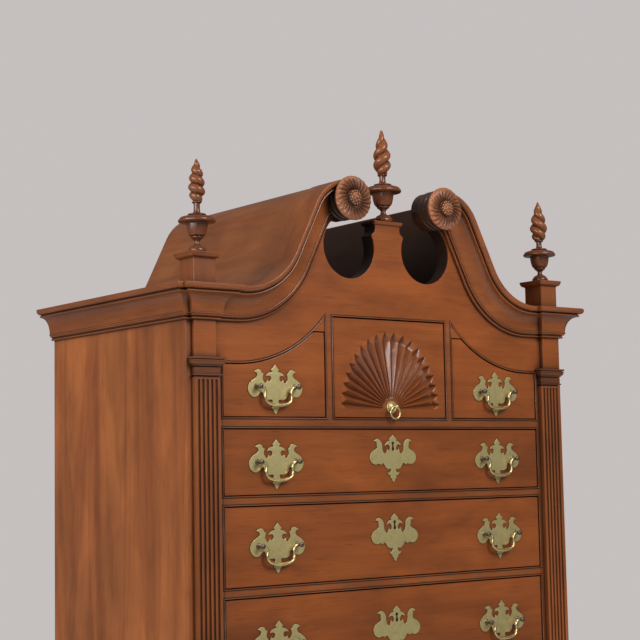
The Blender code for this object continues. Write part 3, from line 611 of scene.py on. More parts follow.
def shared_group(name: str, inputs: dict[str, str],
                 draw: Callable[[Sheet, Sockets], dict[str, Socket]]) -> bpy.types.NodeTree:
    """Return a shared node group, laid out at first use.

    Args:
        name: Group name.
        inputs: Kind of each input socket.
        draw: Lays out the nodes and gives the sockets of the outputs.

    Returns:
        The group, which gives colour, roughness and height.
    """
    found = bpy.data.node_groups.get(name)
    if found:
        return found
    tree = bpy.data.node_groups.new(name, "ShaderNodeTree")
    for way, sockets in (("INPUT", inputs), ("OUTPUT", SURFACE)):
        for key, kind in sockets.items():
            tree.interface.new_socket(key, in_out=way, socket_type=f"NodeSocket{kind}")
    sheet = Sheet(tree)
    given, out = sheet.add("NodeGroupInput").outputs, sheet.add("NodeGroupOutput")
    sheet.feed(out, draw(sheet, given))
    return tree


def wood_figure(sheet: Sheet, given: Sockets) -> dict[str, Socket]:
    """Lay out wood: its figure, fibres and pores, and painted shade with some grime in its corners and
    crevices.

    Args:
        sheet: Sheet to lay it out on.
        given: Sockets of the group's inputs.

    Returns:
        The sockets of the outputs.
    """
    vector, vein = given["Vector"], given["Vein"]
    figure = sheet.noise(vector, (1.3, 11.0, 11.0), 3.0, 0.9)
    fibre = sheet.noise(vector, (4.0, 120.0, 120.0), 3.0)
    pores = sheet.remap(sheet.noise(vector, (22.0, 620.0, 620.0), 2.0), 0.58, 0.72, 0.0, 0.42)
    tone = sheet.noise(vector, (1.1, 2.6, 2.6), 2.0)
    mottle = sheet.noise(vector, (6.0, 13.0, 13.0), 2.0, 0.5)
    # Ambient occlusion darkens crevices and, more widely, corners: painted shade, with some grime; Shade sets
    # how strong.
    crevice_shade_and_grime = sheet.remap(sheet.openness(0.012), 0.25, 0.85, 0.70, 0.0)
    corner = sheet.remap(sheet.openness(0.030), 0.50, 0.92, 0.32, 1.0)
    share = sheet.sum(sheet.sum(sheet.swing(figure, given["Figure"]), sheet.swing(fibre, 0.55)), 0.5)
    base = sheet.blend(share, given["Dark"], given["Light"])
    for factor, other, kind in (
            (sheet.remap(figure, 0.56, 0.72, 0.0, 0.30), vein, "MIX"), (pores, vein, "MIX"),
            (1.0, sheet.remap(tone, 0.3, 0.7, 0.78, 1.20), "MULTIPLY"),
            (1.0, sheet.remap(mottle, 0.3, 0.7, 0.80, 1.20), "MULTIPLY"),
            (sheet.sum(crevice_shade_and_grime, given["Shade"], "MULTIPLY"), vein, "MIX"),
            (given["Shade"], corner, "MULTIPLY")):
        base = sheet.blend(factor, base, other, kind)
    rough = sheet.sum(given["Rough"], sheet.swing(fibre, 0.16))
    height = sheet.sum(sheet.sum(fibre, 0.5, "MULTIPLY"), pores, "SUBTRACT")
    return {"Color": base, "Roughness": rough, "Height": height}


def brass_patina(sheet: Sheet, given: Sockets) -> dict[str, Socket]:
    """Lay out brass: clouds of tarnish, fine specks and dark corners.

    Args:
        sheet: Sheet to lay it out on.
        given: Sockets of the group's inputs.

    Returns:
        The sockets of the outputs.
    """
    cloud = sheet.noise(given["Vector"], (60.0, 60.0, 60.0), 4.0, 0.4)
    speck = sheet.noise(given["Vector"], (700.0, 700.0, 700.0), 2.0)
    base = sheet.blend(sheet.remap(cloud, 0.35, 0.75, 0.0, 0.6), given["Bright"], given["Tarnish"])
    base = sheet.blend(sheet.remap(sheet.openness(0.006), 0.2, 0.8, 0.8, 0.0), base, given["Tarnish"])
    rough = sheet.sum(given["Rough"], sheet.remap(cloud, 0.3, 0.8, 0.0, 0.18))
    return {"Color": base, "Roughness": rough, "Height": speck}


def blank_material(name: str) -> tuple[bpy.types.Material, Sheet, bpy.types.Node]:
    """Start a material.

    Args:
        name: Material name.

    Returns:
        The material, its sheet and its principled shader.
    """
    made = bpy.data.materials.new(name)
    made.use_nodes = True
    return made, Sheet(made.node_tree), made.node_tree.nodes["Principled BSDF"]


@dataclass(frozen=True)
class Finish(ABC):
    """A surface that a shared node group draws under the principled shader."""

    name: str
    slot: str

    @property
    def label(self) -> str:
        """Return the name of the material."""
        return self.name

    @abstractmethod
    def surface(self, sheet: Sheet, place: Socket) -> Sockets:
        """Add the shared group at a place and return its outputs."""

    @abstractmethod
    def settings(self) -> tuple[dict[str, float], dict[str, float]]:
        """Return the fixed inputs of the bump and of the shader."""

    def material(self) -> bpy.types.Material:
        """Make the material, at first use only.

        Returns:
            The material.
        """
        found = bpy.data.materials.get(self.label)
        if found:
            return found
        made, sheet, shader = blank_material(self.label)
        relief, gloss = self.settings()
        drawn = self.surface(sheet, sheet.add("ShaderNodeTexCoord").outputs["Object"])
        bump = sheet.add("ShaderNodeBump", {"Height": drawn["Height"], **relief})
        sheet.feed(shader, {"Base Color": drawn["Color"], "Roughness": drawn["Roughness"],
                            "Normal": bump.outputs[0], **gloss})
        return made


@dataclass(frozen=True)
class WoodFinish(Finish):
    """A polished or bare wood, with its fibres laid one way."""

    light: Colour
    dark: Colour
    vein: Colour
    grain: Grain = Grain.ACROSS
    figure: float = 1.5
    rough: float = 0.45
    coat: float = 0.55
    # strength of the painted shade, with some grime, in corners and crevices
    shade: float = 1.0

    @property
    def label(self) -> str:
        """Return the name of the material, with the way of its fibres."""
        return f"{self.name}_{self.grain.name.lower()}"

    def along(self, grain: Grain) -> "WoodFinish":
        """Return the same wood with its fibres another way."""
        return replace(self, grain=grain)

    def toned(self, name: str, light: Colour, dark: Colour, **changes: object) -> "WoodFinish":
        """Return a wood like this one in other tones."""
        return replace(self, name=name, light=light, dark=dark, **changes)

    def surface(self, sheet: Sheet, place: Socket) -> Sockets:
        """Add the wood figure along the fibres.

        Args:
            sheet: Sheet of the material.
            place: Coordinates.

        Returns:
            The group's outputs.
        """
        laid = sheet.add("ShaderNodeMapping", {"Vector": place, "Rotation": self.grain.value})
        return sheet.add("ShaderNodeGroup", {
            "Vector": laid.outputs[0], "Light": (*self.light, 1), "Dark": (*self.dark, 1),
            "Vein": (*self.vein, 1), "Figure": self.figure, "Rough": self.rough, "Shade": self.shade,
        }, node_tree=shared_group("wood_figure", WOOD_INPUTS, wood_figure)).outputs

    def settings(self) -> tuple[dict[str, float], dict[str, float]]:
        """Return the fixed inputs of the bump and of the shader."""
        return ({"Strength": 0.10, "Distance": 0.0006},
                {"Coat Weight": self.coat, "Coat Roughness": 0.18, "Specular IOR Level": 0.2})


@dataclass(frozen=True)
class BrassFinish(Finish):
    """Lacquered brass gone dull."""

    bright: Colour
    tarnish: Colour
    metal: float = 0.75
    rough: float = 0.34

    def surface(self, sheet: Sheet, place: Socket) -> Sockets:
        """Add the brass patina.

        Args:
            sheet: Sheet of the material.
            place: Coordinates.

        Returns:
            The group's outputs.
        """
        return sheet.add("ShaderNodeGroup", {
            "Vector": place, "Bright": (*self.bright, 1), "Tarnish": (*self.tarnish, 1), "Rough": self.rough,
        }, node_tree=shared_group("brass_patina", BRASS_INPUTS, brass_patina)).outputs

    def settings(self) -> tuple[dict[str, float], dict[str, float]]:
        """Return the fixed inputs of the bump and of the shader."""
        return {"Strength": 0.12, "Distance": 0.0003}, {"Metallic": self.metal}


CASE = WoodFinish("cherry_case", "cherry", (0.270, 0.077, 0.0176), (0.148, 0.0385, 0.0088),
                  (0.032, 0.008, 0.003))
CASE_UPRIGHT = CASE.along(Grain.UPRIGHT)
POST = replace(CASE_UPRIGHT, name="cherry_post", shade=0.65)
# The right pilaster gets lighter wood than the left: painted light, as it stands better lit.
RIGHT_POST_LIT = POST.toned("cherry_far_post", (0.335, 0.098, 0.0230), (0.184, 0.049, 0.0115))
# The crown's side run is painted darker than the case: painted shade on its downward cove.
RETURN = CASE.toned("cherry_return", (0.220, 0.064, 0.0152), (0.120, 0.0320, 0.0076), grain=Grain.DEPTH)
# Capital wood darker than the case: painted shade under its mouldings.
CAPITAL = CASE.toned("cherry_capital", (0.150, 0.046, 0.0135), (0.085, 0.024, 0.0072))
PANEL = WoodFinish("cherry_panel", "cherry", (0.355, 0.110, 0.027), (0.195, 0.053, 0.013),
                   (0.070, 0.016, 0.005), Grain.UPRIGHT, figure=3.2)
ROOF = PANEL.toned("cherry_roof", (0.285, 0.090, 0.023), (0.160, 0.045, 0.0115), grain=Grain.DEPTH)
FRONT = WoodFinish("cherry_front", "cherry_front", (0.282, 0.0735, 0.0125), (0.166, 0.0395, 0.0067),
                   (0.060, 0.014, 0.004), figure=1.6)
FAN = FRONT.toned("cherry_fan", (0.312, 0.086, 0.0180), (0.184, 0.0465, 0.0094), coat=0.75, shade=0.50)
# The urn's wood is darker than the flame's: painted shade under its brim and round its body.
TURNED = WoodFinish("cherry_turned", "cherry_dark", (0.195, 0.054, 0.0145), (0.100, 0.0255, 0.0068),
                    (0.018, 0.005, 0.002), Grain.UPRIGHT, figure=1.2, coat=0.65)
FLAME = TURNED.toned("cherry_flame", (0.290, 0.088, 0.0250), (0.160, 0.044, 0.0125), coat=0.55)
PETAL = TURNED.toned("cherry_petal", (0.400, 0.152, 0.068), (0.236, 0.083, 0.036),
                     grain=Grain.ACROSS, coat=0.30, shade=0.80)
# Near-black drum: painted shade, as the swan neck shades the drum's sides.
DRUM = TURNED.toned("cherry_drum", (0.085, 0.030, 0.012), (0.048, 0.016, 0.007), grain=Grain.DEPTH, coat=0.6)
# Near-black wood laid where only shade falls: the channel behind the cut-outs, the tympanum's backing, the
# quirks beside the beads and the blocks behind the keyholes. Painted shade.
SHADE = WoodFinish("cherry_aged", "cherry_dark", (0.036, 0.013, 0.005), (0.020, 0.007, 0.003),
                   (0.010, 0.004, 0.002), Grain.DEPTH, rough=0.60, coat=0.1)
PINE = WoodFinish("pine_bare", "pine", (0.440, 0.270, 0.130), (0.300, 0.170, 0.078), (0.150, 0.076, 0.032),
                  rough=0.62, coat=0.0)
# Back boards darker than bare pine: age, and painted shade where they are seen through the bonnet's cut-outs.
BACKING = PINE.toned("pine_aged", (0.205, 0.112, 0.052), (0.130, 0.066, 0.030),
                     vein=(0.055, 0.025, 0.011), grain=Grain.UPRIGHT)
BRASS = BrassFinish("brass_dull", "brass", (0.625, 0.525, 0.238), (0.275, 0.200, 0.080))
BAIL = BrassFinish("brass_bail", "brass", (0.720, 0.580, 0.270), (0.300, 0.210, 0.085), 0.95, 0.22)
# Knob brass far darker than the plates: tarnish, and painted dark reflection of the dim room round the knobs.
KNOB_BRASS_SHADED = BrassFinish("brass_aged", "brass", (0.150, 0.108, 0.078), (0.055, 0.040, 0.030), 0.75, 0.24)

FRAME: dict[str, object] = {}


def dress(piece: Piece, finish: Finish) -> None:
    """Give a piece its finish.

    Args:
        piece: Finished piece or CAD board.
        finish: Its wood or metal.
    """
    piece.data.materials.clear()
    piece.data.materials.append(finish.material())


def fit(piece: Piece, finish: Finish, *nodes: str, body: str = "case", angle: float = 32.0) -> None:
    """Shade and finish a piece, hang it on its body and let it stand for CAD nodes.

    Args:
        piece: The finished mesh.
        finish: Its wood or metal.
        nodes: CAD nodes it stands for.
        body: CAD body that it moves with.
        angle: Edges sharper than this stay sharp, in degrees; 0 keeps the shading that it has.
    """
    if angle:
        Bench.smooth(piece, angle)
    dress(piece, finish)
    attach(piece, body)
    if nodes:
        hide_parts(*nodes)
    LOG.info("%s on %s", piece.name, body)


def hinge(body: str) -> Vector:
    """Return a point on the axis that a body swings on."""
    return Vector(next(joint["pos_m"] for joint in FRAME["joints"] if joint["child"] == body))


@dataclass(frozen=True)
class Layout:
    """Main places of the chest, read from the CAD frame."""

    face: float
    back: float
    half_w: float
    opening: float
    tier: float
    crown: float
    pilaster_in: float
    pilaster_out: float
    waist: float
    waist_top: float
    base: float
    base_top: float
    lower_half: float
    lower_face: float
    fan_half: float
    divider: float
    lower_step: float = 0.020
    belly: Point = (0.050, 0.048)
    belly_low: float = 0.72
    belly_round: float = 1.4

    @classmethod
    def read(cls) -> "Layout":
        """Read the layout from the loaded frame.

        Returns:
            The layout.
        """
        side_low, side_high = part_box("upper_side_right")
        plinth_low, plinth_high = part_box("plinth_right")
        fan_low, fan_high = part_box("fan_drawer")
        base_low, base_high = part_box("base_moulding")
        return cls(face=side_low.y, back=side_high.y, half_w=side_high.x, opening=side_low.x,
                   tier=fan_low.z - SEAM, crown=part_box("crown_moulding_right")[0].z,
                   pilaster_in=plinth_low.x + CAP_OUT, pilaster_out=plinth_high.x - CAP_OUT,
                   waist=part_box("waist_moulding")[0].z, waist_top=side_low.z - SEAM,
                   base=base_low.z, base_top=base_high.z,
                   lower_half=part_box("lower_side_right")[0].x + LOWER_T,
                   lower_face=side_low.y - cls.lower_step, fan_half=fan_high.x + PLAY,
                   divider=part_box("small_drawer_right")[0].x - PLAY)

    def swell(self, z: float) -> float:
        """Return the share of the bombe swell at a height."""
        share = min(max((z - self.base_top) / (self.waist - self.base_top), 0.0), 1.0)
        return math.sin(math.pi * share ** self.belly_low) ** self.belly_round if 0 < share < 1 else 0.0

    def lower_y(self, z: float) -> float:
        """Return the front of the lower case at a height."""
        return self.lower_face - self.belly[1] * self.swell(z)

    def lower_x(self, z: float) -> float:
        """Return the outer half width of the lower case at a height."""
        return self.lower_half + self.belly[0] * self.swell(z)


@dataclass
class SwanNeck:
    """Course of the swan-neck moulding, from its outer end to the rosette."""

    layout: Layout
    lead: float = 0.0513
    tilt: float = math.radians(63.5)
    radius_share: float = 0.3984
    straight_share: float = 0.2351
    end_r: float = 0.029
    arc_steps: int = 22
    end_steps: int = 8
    seat: Point = (-0.0059, 0.0281)
    cut_out: Point = (-0.0212, -0.092)
    neck: float = 0.0368

    def __post_init__(self) -> None:
        """Work out the course from its sizes."""
        self.start = self.layout.pilaster_in - self.lead
        self.radius = self.layout.half_w * self.radius_share
        self.straight = self.layout.half_w * self.straight_share
        bends, sine, cosine = self.radius + self.end_r, math.sin(self.tilt), math.cos(self.tilt)
        self.end_x = self.start - bends * sine - self.straight * cosine
        self.rise = bends * (1 - cosine) + self.straight * sine
        self.rosette = (self.end_x + self.seat[0], self.layout.crown + self.rise + self.seat[1])

    def line(self, height: float) -> list[Point]:
        """Draw the right-hand course, raised square to itself.

        Args:
            height: How far it is raised.

        Returns:
            The points, outer end first.
        """
        foot = self.layout.crown
        course = [(self.start - self.radius * math.sin(t), foot + self.radius * (1 - math.cos(t)), t)
                  for t in (self.tilt * i / self.arc_steps for i in range(self.arc_steps + 1))]
        for i in range(self.end_steps + 1):
            t = self.tilt * (1 - i / self.end_steps)
            course.append((self.end_x + self.end_r * math.sin(t),
                           foot + self.rise - self.end_r * (1 - math.cos(t)), t))
        return [(x + height * math.sin(t), z + height * math.cos(t)) for x, z, t in course]

    def level(self, height: float, x: float) -> float:
        """Find where the raised course lies at one x.

        Args:
            height: How far it is raised.
            x: Distance from the middle.

        Returns:
            Its z.
        """
        line = self.line(height)
        for (x_out, z_out), (x_in, z_in) in zip(line, line[1:]):
            if x_in <= x <= x_out:
                return z_in + (z_out - z_in) * (x - x_in) / (x_out - x_in)
        return line[-1][1]

    @property
    def hole(self) -> tuple[float, float, float]:
        """Return the cut-out's middle and radius as (x, z, radius)."""
        x = self.rosette[0] + self.cut_out[0]
        return x, self.rosette[1] + self.cut_out[1], x - self.neck


@dataclass
class CrownMoulding:
    """Crown moulding of one side: mitred runs and the swan neck."""

    layout: Layout
    swan: SwanNeck
    side: Side

    def profile(self) -> list[Point]:
        """Draw the moulding's section.

        Returns:
            The (out, up) points from foot to crest.
        """
        foot = arc((0.0030, 0.0027), (0.0042, 0.0024), -90, 90, 7)
        groove = [(0.0058, 0.0054), (0.0058, 0.0073), (0.0092, 0.0075), (0.0095, 0.0106)]
        bead = arc((0.0100, 0.0124), (0.0017, 0.0017), -80, 100, 6)
        cove = arc((0.0311, 0.0143), (0.0205, 0.0343), 180, 90, 14)
        nose = arc((0.0325, 0.0508), (0.0019, 0.0019), -90, 90, 6)
        quirk = [(0.0317, 0.0529), (0.0317, 0.0544), (0.0345, 0.0546)]
        corona = arc((0.0352, 0.0622), (0.0068, 0.0070), -80, 0, 7)
        crest = arc((0.0404, 0.0648), (0.0016, 0.0016), 0, 90, 3)
        front = foot + groove + bead + cove + nose + quirk + corona + crest
        return [(SEAM, SEAM), *front, (SEAM, CROWN_H)]

    def run(self, first: tuple[float, ...], last: tuple[float, ...]) -> Piece:
        """Make one straight run with its mitres.

        Args:
            first: Start as (x, y, way out along x, way out along y).
            last: End, the same way.

        Returns:
            The run.
        """
        s, foot = self.side.value, self.layout.crown
        rings = [[(s * (x + dx * o), y + dy * o, foot + u) for o, u in self.profile()]
                 for x, y, dx, dy in (first, last)]
        return Bench.loft("crown_run", rings)

    def swan_neck(self) -> Piece:
        """Make the swan neck: its section spun, drawn straight and spun back.

        Returns:
            The swan neck.
        """
        s, swan, face, foot = self.side.value, self.swan, self.layout.face, self.layout.crown
        piece = Bench.ring("crown_swan", [(s * swan.start, face - o, foot + u) for o, u in self.profile()])
        step = (-s * swan.straight * math.cos(swan.tilt), 0, swan.straight * math.sin(swan.tilt))
        with Bench.editing(piece):
            bpy.ops.mesh.spin(steps=swan.arc_steps, angle=swan.tilt, axis=(0, -s, 0),
                              center=(s * swan.start, face, foot + swan.radius))
            bpy.ops.mesh.extrude_region_move(TRANSFORM_OT_translate={"value": step})
            bpy.ops.mesh.spin(steps=swan.end_steps, angle=swan.tilt, axis=(0, s, 0),
                              center=(s * swan.end_x, face, foot + swan.rise - swan.end_r))
        return Bench.tidy(piece)

    def build(self) -> None:
        """Build the moulding and put it in place of its CAD node."""
        lay, name = self.layout, f"crown_moulding_{self.side.label}"
        face, step = lay.face, lay.face - BREAK
        corners = [(lay.half_w, lay.back, 1, 0), (lay.half_w, face, 1, -1), (lay.pilaster_out, face, 1, -1),
                   (lay.pilaster_out, step, 1, -1), (lay.pilaster_in, step, -1, -1),
                   (lay.pilaster_in, face, -1, -1), (self.swan.start, face, 0, -1)]
        runs = [self.run(a, b) for a, b in zip(corners, corners[1:])]
        # The side run takes the darker return wood: painted shade.
        fit(Bench.joined(f"{name}_return", runs[:1]), RETURN, angle=24)
        fit(Bench.joined(f"{name}_front", runs[1:] + [self.swan_neck()]), CASE, name, angle=24)


@dataclass
class Bonnet:
    """Curved roof, channel painted near black as shade, and crest of the bonnet on one side."""

    layout: Layout
    swan: SwanNeck
    side: Side
    roof_t: float = 0.010
    front: float = 0.0353
    seam: float = 0.0035
    lap: float = 0.0016
    hair: float = 0.0001
    wall_off: float = 0.004
    floor_off: float = 0.0075

    def build(self) -> None:
        """Build the roof, the channel behind the cut-outs and the crest over the tympanum."""
        lay, swan, hair = self.layout, self.swan, self.hair
        hole_x, hole_z, hole_r = swan.hole
        inner, floor = hole_x + hole_r + self.wall_off, hole_z - hole_r - self.floor_off
        outer, low = inner + self.roof_t, CROWN_H - self.roof_t
        top, under = swan.line(CROWN_H), swan.line(low)

        def strip(end: float, *edge: Point) -> list[Point]:
            """Return a board along the roof line, from the side to an end with an edge."""
            over = [(lay.half_w, top[0][1])] + [p for p in top if p[0] > end]
            return over + [*edge] + [p for p in reversed(under) if p[0] > end] + [(lay.half_w, under[0][1])]

        brow, eave = swan.level(CROWN_H, inner), swan.level(CROWN_H, outer)
        roof = strip(outer, (outer, eave), (inner, brow), (inner, brow - self.lap),
                     (outer, eave - self.lap), (outer, swan.level(low, outer)))
        gap, wall, base = self.lap + hair, outer - hair, floor - self.roof_t
        channel = [(inner, brow - gap), (inner, floor), (SEAM / 2, floor), (SEAM / 2, base),
                   (wall, base), (wall, eave - gap)]
        crest = strip(swan.rosette[0] + SEAM)
        name, behind = f"bonnet_{self.side.label}", lay.face + self.front
        # The channel behind the cut-outs takes near-black wood: painted shade.
        for part, outline, finish, front, back, nodes in (
                ("roof", roof, ROOF, behind, lay.back, [name]),
                ("channel", channel, SHADE, behind, lay.back, []),
                ("crest", crest, ROOF, lay.face + self.seam + hair, behind, [])):
            made = Bench.board(f"{name}_{part}", self.side.laid(outline), front, back)
            fit(Bench.eased_edges(made, 0.0006), finish, *nodes, angle=24)


@dataclass
class Tympanum:
    """Arched front board with its cut-outs, and the plinth of the centre finial."""

    layout: Layout
    swan: SwanNeck
    depth: float = 0.035
    face_t: float = 0.0035
    small_h: float = 0.1045
    clip_h: float = 0.1739
    spring: float = 0.030
    bow_share: float = 0.75
    trim_h: float = 0.0562
    plinth_half: float = 0.033
    plinth_depth: float = 0.036
    plinth_rise: float = 0.030
    plinth_sunk: float = 0.004
    ear: Point = (0.0295, 0.0115)
    ear_low: float = 0.0022
    ear_line: tuple[Point, ...] = ((0.0006, -0.0002), (0.0020, 0.0014), (0.0046, 0.0032), (0.0072, 0.0056))
    ear_end: Point = (0.0006, 0.0085)
    seat_r: float = 0.0423
    cap: Point = (0.0080, 0.0048)

    @property
    def bow(self) -> Point:
        """Return the middle x and the radius of the small drawers' arch."""
        x = self.layout.opening - self.spring
        return x, x * self.bow_share

    @property
    def shoulder(self) -> float:
        """Return the height of the ears beside the plinth."""
        return self.swan.hole[1] + self.ear[0]

    def arch(self, raise_by: float, top: float) -> list[Point]:
        """Return the small drawers' arch from the divider outwards.

        Args:
            raise_by: How far the line lies outside the arch.
            top: Height above the tier floor where the arch is clipped.

        Returns:
            Points of the right-hand arch.
        """
        x, bow = self.bow
        radius = bow - raise_by
        start = math.degrees(math.asin((self.small_h + bow - top) / radius))
        return arc((x, self.layout.tier + self.small_h + bow), (radius, radius), -180 + start, -90, 20)

    def reach(self, raise_by: float, x: float) -> float:
        """Return the arch's height above the tier floor at one x."""
        middle, bow = self.bow
        return self.small_h + bow - math.sqrt((bow - raise_by) ** 2 - (middle - x) ** 2)

    def half_outline(self) -> list[Point]:
        """Draw the right half of the board.

        Returns:
            The points from over the fan drawer round to the plinth.
        """
        lay, swan, shoulder = self.layout, self.swan, self.shoulder
        wall, edge, over_fan = lay.half_w - SIDE_T - SEAM, lay.divider + SEAM, lay.tier + FAN_H + SEAM
        arch, end_x, peak = self.arch(0.0, self.clip_h), swan.rosette[0] + SEAM, shoulder + self.ear[1]
        crest = [p for p in swan.line(CROWN_H) if p[0] > end_x]
        hole_x, hole_z, radius = swan.hole
        first = math.degrees(math.acos((end_x - hole_x) / radius))
        last = math.asin((self.ear[0] - self.ear_low) / radius)
        tip = hole_x - radius * math.cos(last)
        return [(0.0, over_fan), (edge, over_fan), (edge, lay.tier + self.clip_h), *arch,
                (wall, arch[-1][1]), (wall, lay.crown + CROWN_H), *crest, (end_x, crest[-1][1]),
                *arc((hole_x, hole_z), (radius, radius), first, -180 - math.degrees(last), 40),
                *((tip - x, shoulder + z) for x, z in self.ear_line),
                (self.plinth_half + self.ear_end[0], shoulder + self.ear_end[1]),
                (self.plinth_half, peak), (0.0, peak)]

    def plinth(self) -> Piece:
        """Stack the plinth of the centre finial and its cap.

        Returns:
            The plinth.
        """
        top, (cap_h, cap_out) = self.shoulder + self.plinth_rise, self.cap
        rows = [(0.0, self.shoulder - self.plinth_sunk), (0.0, top - cap_h),
                *arc((0.0, top - cap_h * 0.30), (cap_out, cap_h * 0.70), -90, 0, 6),
                (cap_out, top - cap_h * 0.28), (cap_out, top)]
        return stacked("tympanum_plinth", (-self.plinth_half, self.layout.face),
                       (self.plinth_half, self.layout.face + self.plinth_depth), rows)

    def build(self) -> None:
        """Build the board and its plinth, with the thin front apart from the wood behind, which is painted
        near black as shade.
        """
        lay, swan, half = self.layout, self.swan, self.half_outline()
        outline = half + [(-x, z) for x, z in reversed(half) if abs(x) > 1e-5]
        board = Bench.board("tympanum_board", outline, lay.face, lay.face + self.depth)
        Bench.combine(board, self.plinth(), "UNION")
        seat = [(0.0, -0.1), (self.seat_r, -0.1), (self.seat_r, 0.1), (0.0, 0.1)]
        for side in Side:
            spot = (side.value * swan.rosette[0], lay.face, swan.rosette[1])
            Bench.combine(board, Bench.lathe("seat", seat, spot, FORWARD, 64))
        backing, seam = Bench.copied(board, "tympanum_backing", Matrix.Identity(4)), lay.face + self.face_t
        Bench.combine(backing, Bench.block("front_half", (-1.0, lay.face - 0.1, 0.0), (1.0, seam, 4.0)))
        Bench.combine(board, Bench.block("rear_half", (-1.0, seam, 0.0), (1.0, lay.face + 0.1, 4.0)))
        end_x, high = swan.rosette[0] + SEAM, lay.crown + 1.0
        under = [p for p in swan.line(self.trim_h) if p[0] > end_x]
        above = [*under, (end_x, under[-1][1]), (end_x, high), (lay.half_w, high), (lay.half_w, under[0][1])]
        for side in Side:
            Bench.combine(backing, Bench.board("above", side.laid(above), lay.face - 0.05, lay.face + 0.05))
        fit(Bench.eased_edges(board, 0.0014), FRONT, "tympanum")
        # The backing shows in the cut-outs' reveals and the plinth's sides; its near-black wood is painted
        # shade.
        fit(backing, SHADE)


def stacked(name: str, low: Point, high: Point, rows: Sequence[Point], wall: bool = False) -> Piece:
    """Stack rectangles that grow outwards into a moulded block.

    Args:
        name: Piece name.
        low: Lowest (x, y) of the plain block.
        high: Highest (x, y) of the plain block.
        rows: (growth, z) from bottom to top.
        wall: True if the block stands against a wall at its rear.

    Returns:
        The block.
    """
    rings = []
    for e, z in rows:
        x_low, x_high, y_low, y_high = low[0] - e, high[0] + e, low[1] - e, high[1] + (0 if wall else e)
        rings.append([(x_low, y_low, z), (x_high, y_low, z), (x_high, y_high, z), (x_low, y_high, z)])
    return Bench.loft(name, rings)


@dataclass
class Rosette:
    """Carved rosette with its drum at the end of a swan neck."""

    layout: Layout
    swan: SwanNeck
    side: Side
    radius: float = 0.0458
    petals: int = 24
    reach: float = 0.042
    relief: float = 0.0112
    sink: float = 0.0046
    face_share: float = 0.93
    twist: float = 0.42
    bead_r: float = 0.0026
    bead_at: Point = (0.0132, 0.0095)

    def petal_face(self, center: Place) -> Piece:
        """Carve the swirled petals on a polar grid.

        Args:
            center: Middle of the face.

        Returns:
            The carved face.
        """
        hand, last = self.side.value, self.face_share

        def place(u: float, v: float) -> Place:
            """Find a point of the petals.

            Args:
                u: Share of the turn.
                v: Share of the radius.

            Returns:
                The point.
            """
            share = min(v / last, 1.0)
            angle = 2 * math.pi * u - hand * self.twist * share ** 1.3
            if v > last:
                reach, rise = self.radius * 0.985, -0.0002 - 0.001 * (v - last) / (1 - last)
            else:
                hollow = 1 - (2 * (self.petals * u % 1.0) - 1) ** 2
                rim = 1 - max(0.0, (share - 0.80) / 0.20) ** 2
                ditch = 1 - 0.60 * math.exp(-((share - 0.34) / 0.10) ** 2)
                reach = self.radius * share
                rise = self.relief * (1 - 0.14 * share) * (0.30 + 0.70 * rim) * ditch
                rise -= self.sink * hollow * min(1.0, max(0.0, (share - 0.28) / 0.2)) * (0.35 + 0.65 * rim)
            return (center[0] + reach * math.cos(angle), center[1] - rise,
                    center[2] + reach * math.sin(angle))

        return Bench.skin("rosette_petals", self.petals * 10, 26, place)

    def boss(self, front: Place) -> list[Piece]:
        """Turn the boss and set its rings of beads.

        Args:
            front: Middle of the rosette's face.

        Returns:
            The boss and its beads.
        """
        dome = [(0.0, 0.004), (0.0125, 0.004)] + arc((0.0, 0.0085), (0.0122, 0.0075), 0, 90, 7)
        made = [Bench.lathe("rosette_boss", dome, front, FORWARD, 32)]
        out, up = self.bead_at
        bpy.ops.object.select_all(action="DESELECT")
        bpy.ops.mesh.primitive_uv_sphere_add(segments=12, ring_count=8, radius=self.bead_r,
                                             location=(front[0] + out, front[1] - up, front[2]))
        bead = Bench.named("rosette_bead")
        made.append(bead)
        about = Matrix.Translation((front[0], 0, front[2]))
        for first, count, inward in ((1, 14, (0.0, 0.0, 0.0)), (0, 7, (-0.0062, -0.0050, 0.0)),
                                     (0, 1, (-out, -0.0068, 0.0))):
            for i in range(first, count):
                turn = about @ Matrix.Rotation(2 * math.pi * i / count, 4, "Y") @ about.inverted()
                made.append(Bench.copied(bead, "rosette_bead", turn @ Matrix.Translation(inward)))
        return made

    def build(self) -> None:
        """Build drum, petals and beaded boss."""
        name, (x, z), y = f"rosette_{self.side.label}", self.swan.rosette, self.layout.face
        x *= self.side.value
        rings = [(0.0, -0.020), (0.0405, -0.020), (0.0405, -0.0003), (0.0418, 0.004), (0.0418, 0.010),
                 (0.0396, 0.0115), (0.0396, 0.014), (0.0416, 0.0155), (0.0420, 0.019), (0.0416, 0.0225),
                 (0.0392, 0.024), (0.0392, 0.0275), (0.0414, 0.029), (0.0418, 0.034), (0.0436, 0.0375),
                 (0.0446, self.reach), (0.0, self.reach)]
        drum = Bench.lathe(f"{name}_drum", rings, (x, y, z), FORWARD, 64)
        front = (x, y - self.reach, z)
        carving = [self.petal_face(front), *self.boss(front)]
        fit(Bench.joined(f"{name}_carving", carving), PETAL, name, angle=60)
        # The drum takes near-black wood: painted shade.
        fit(drum, DRUM, angle=40)


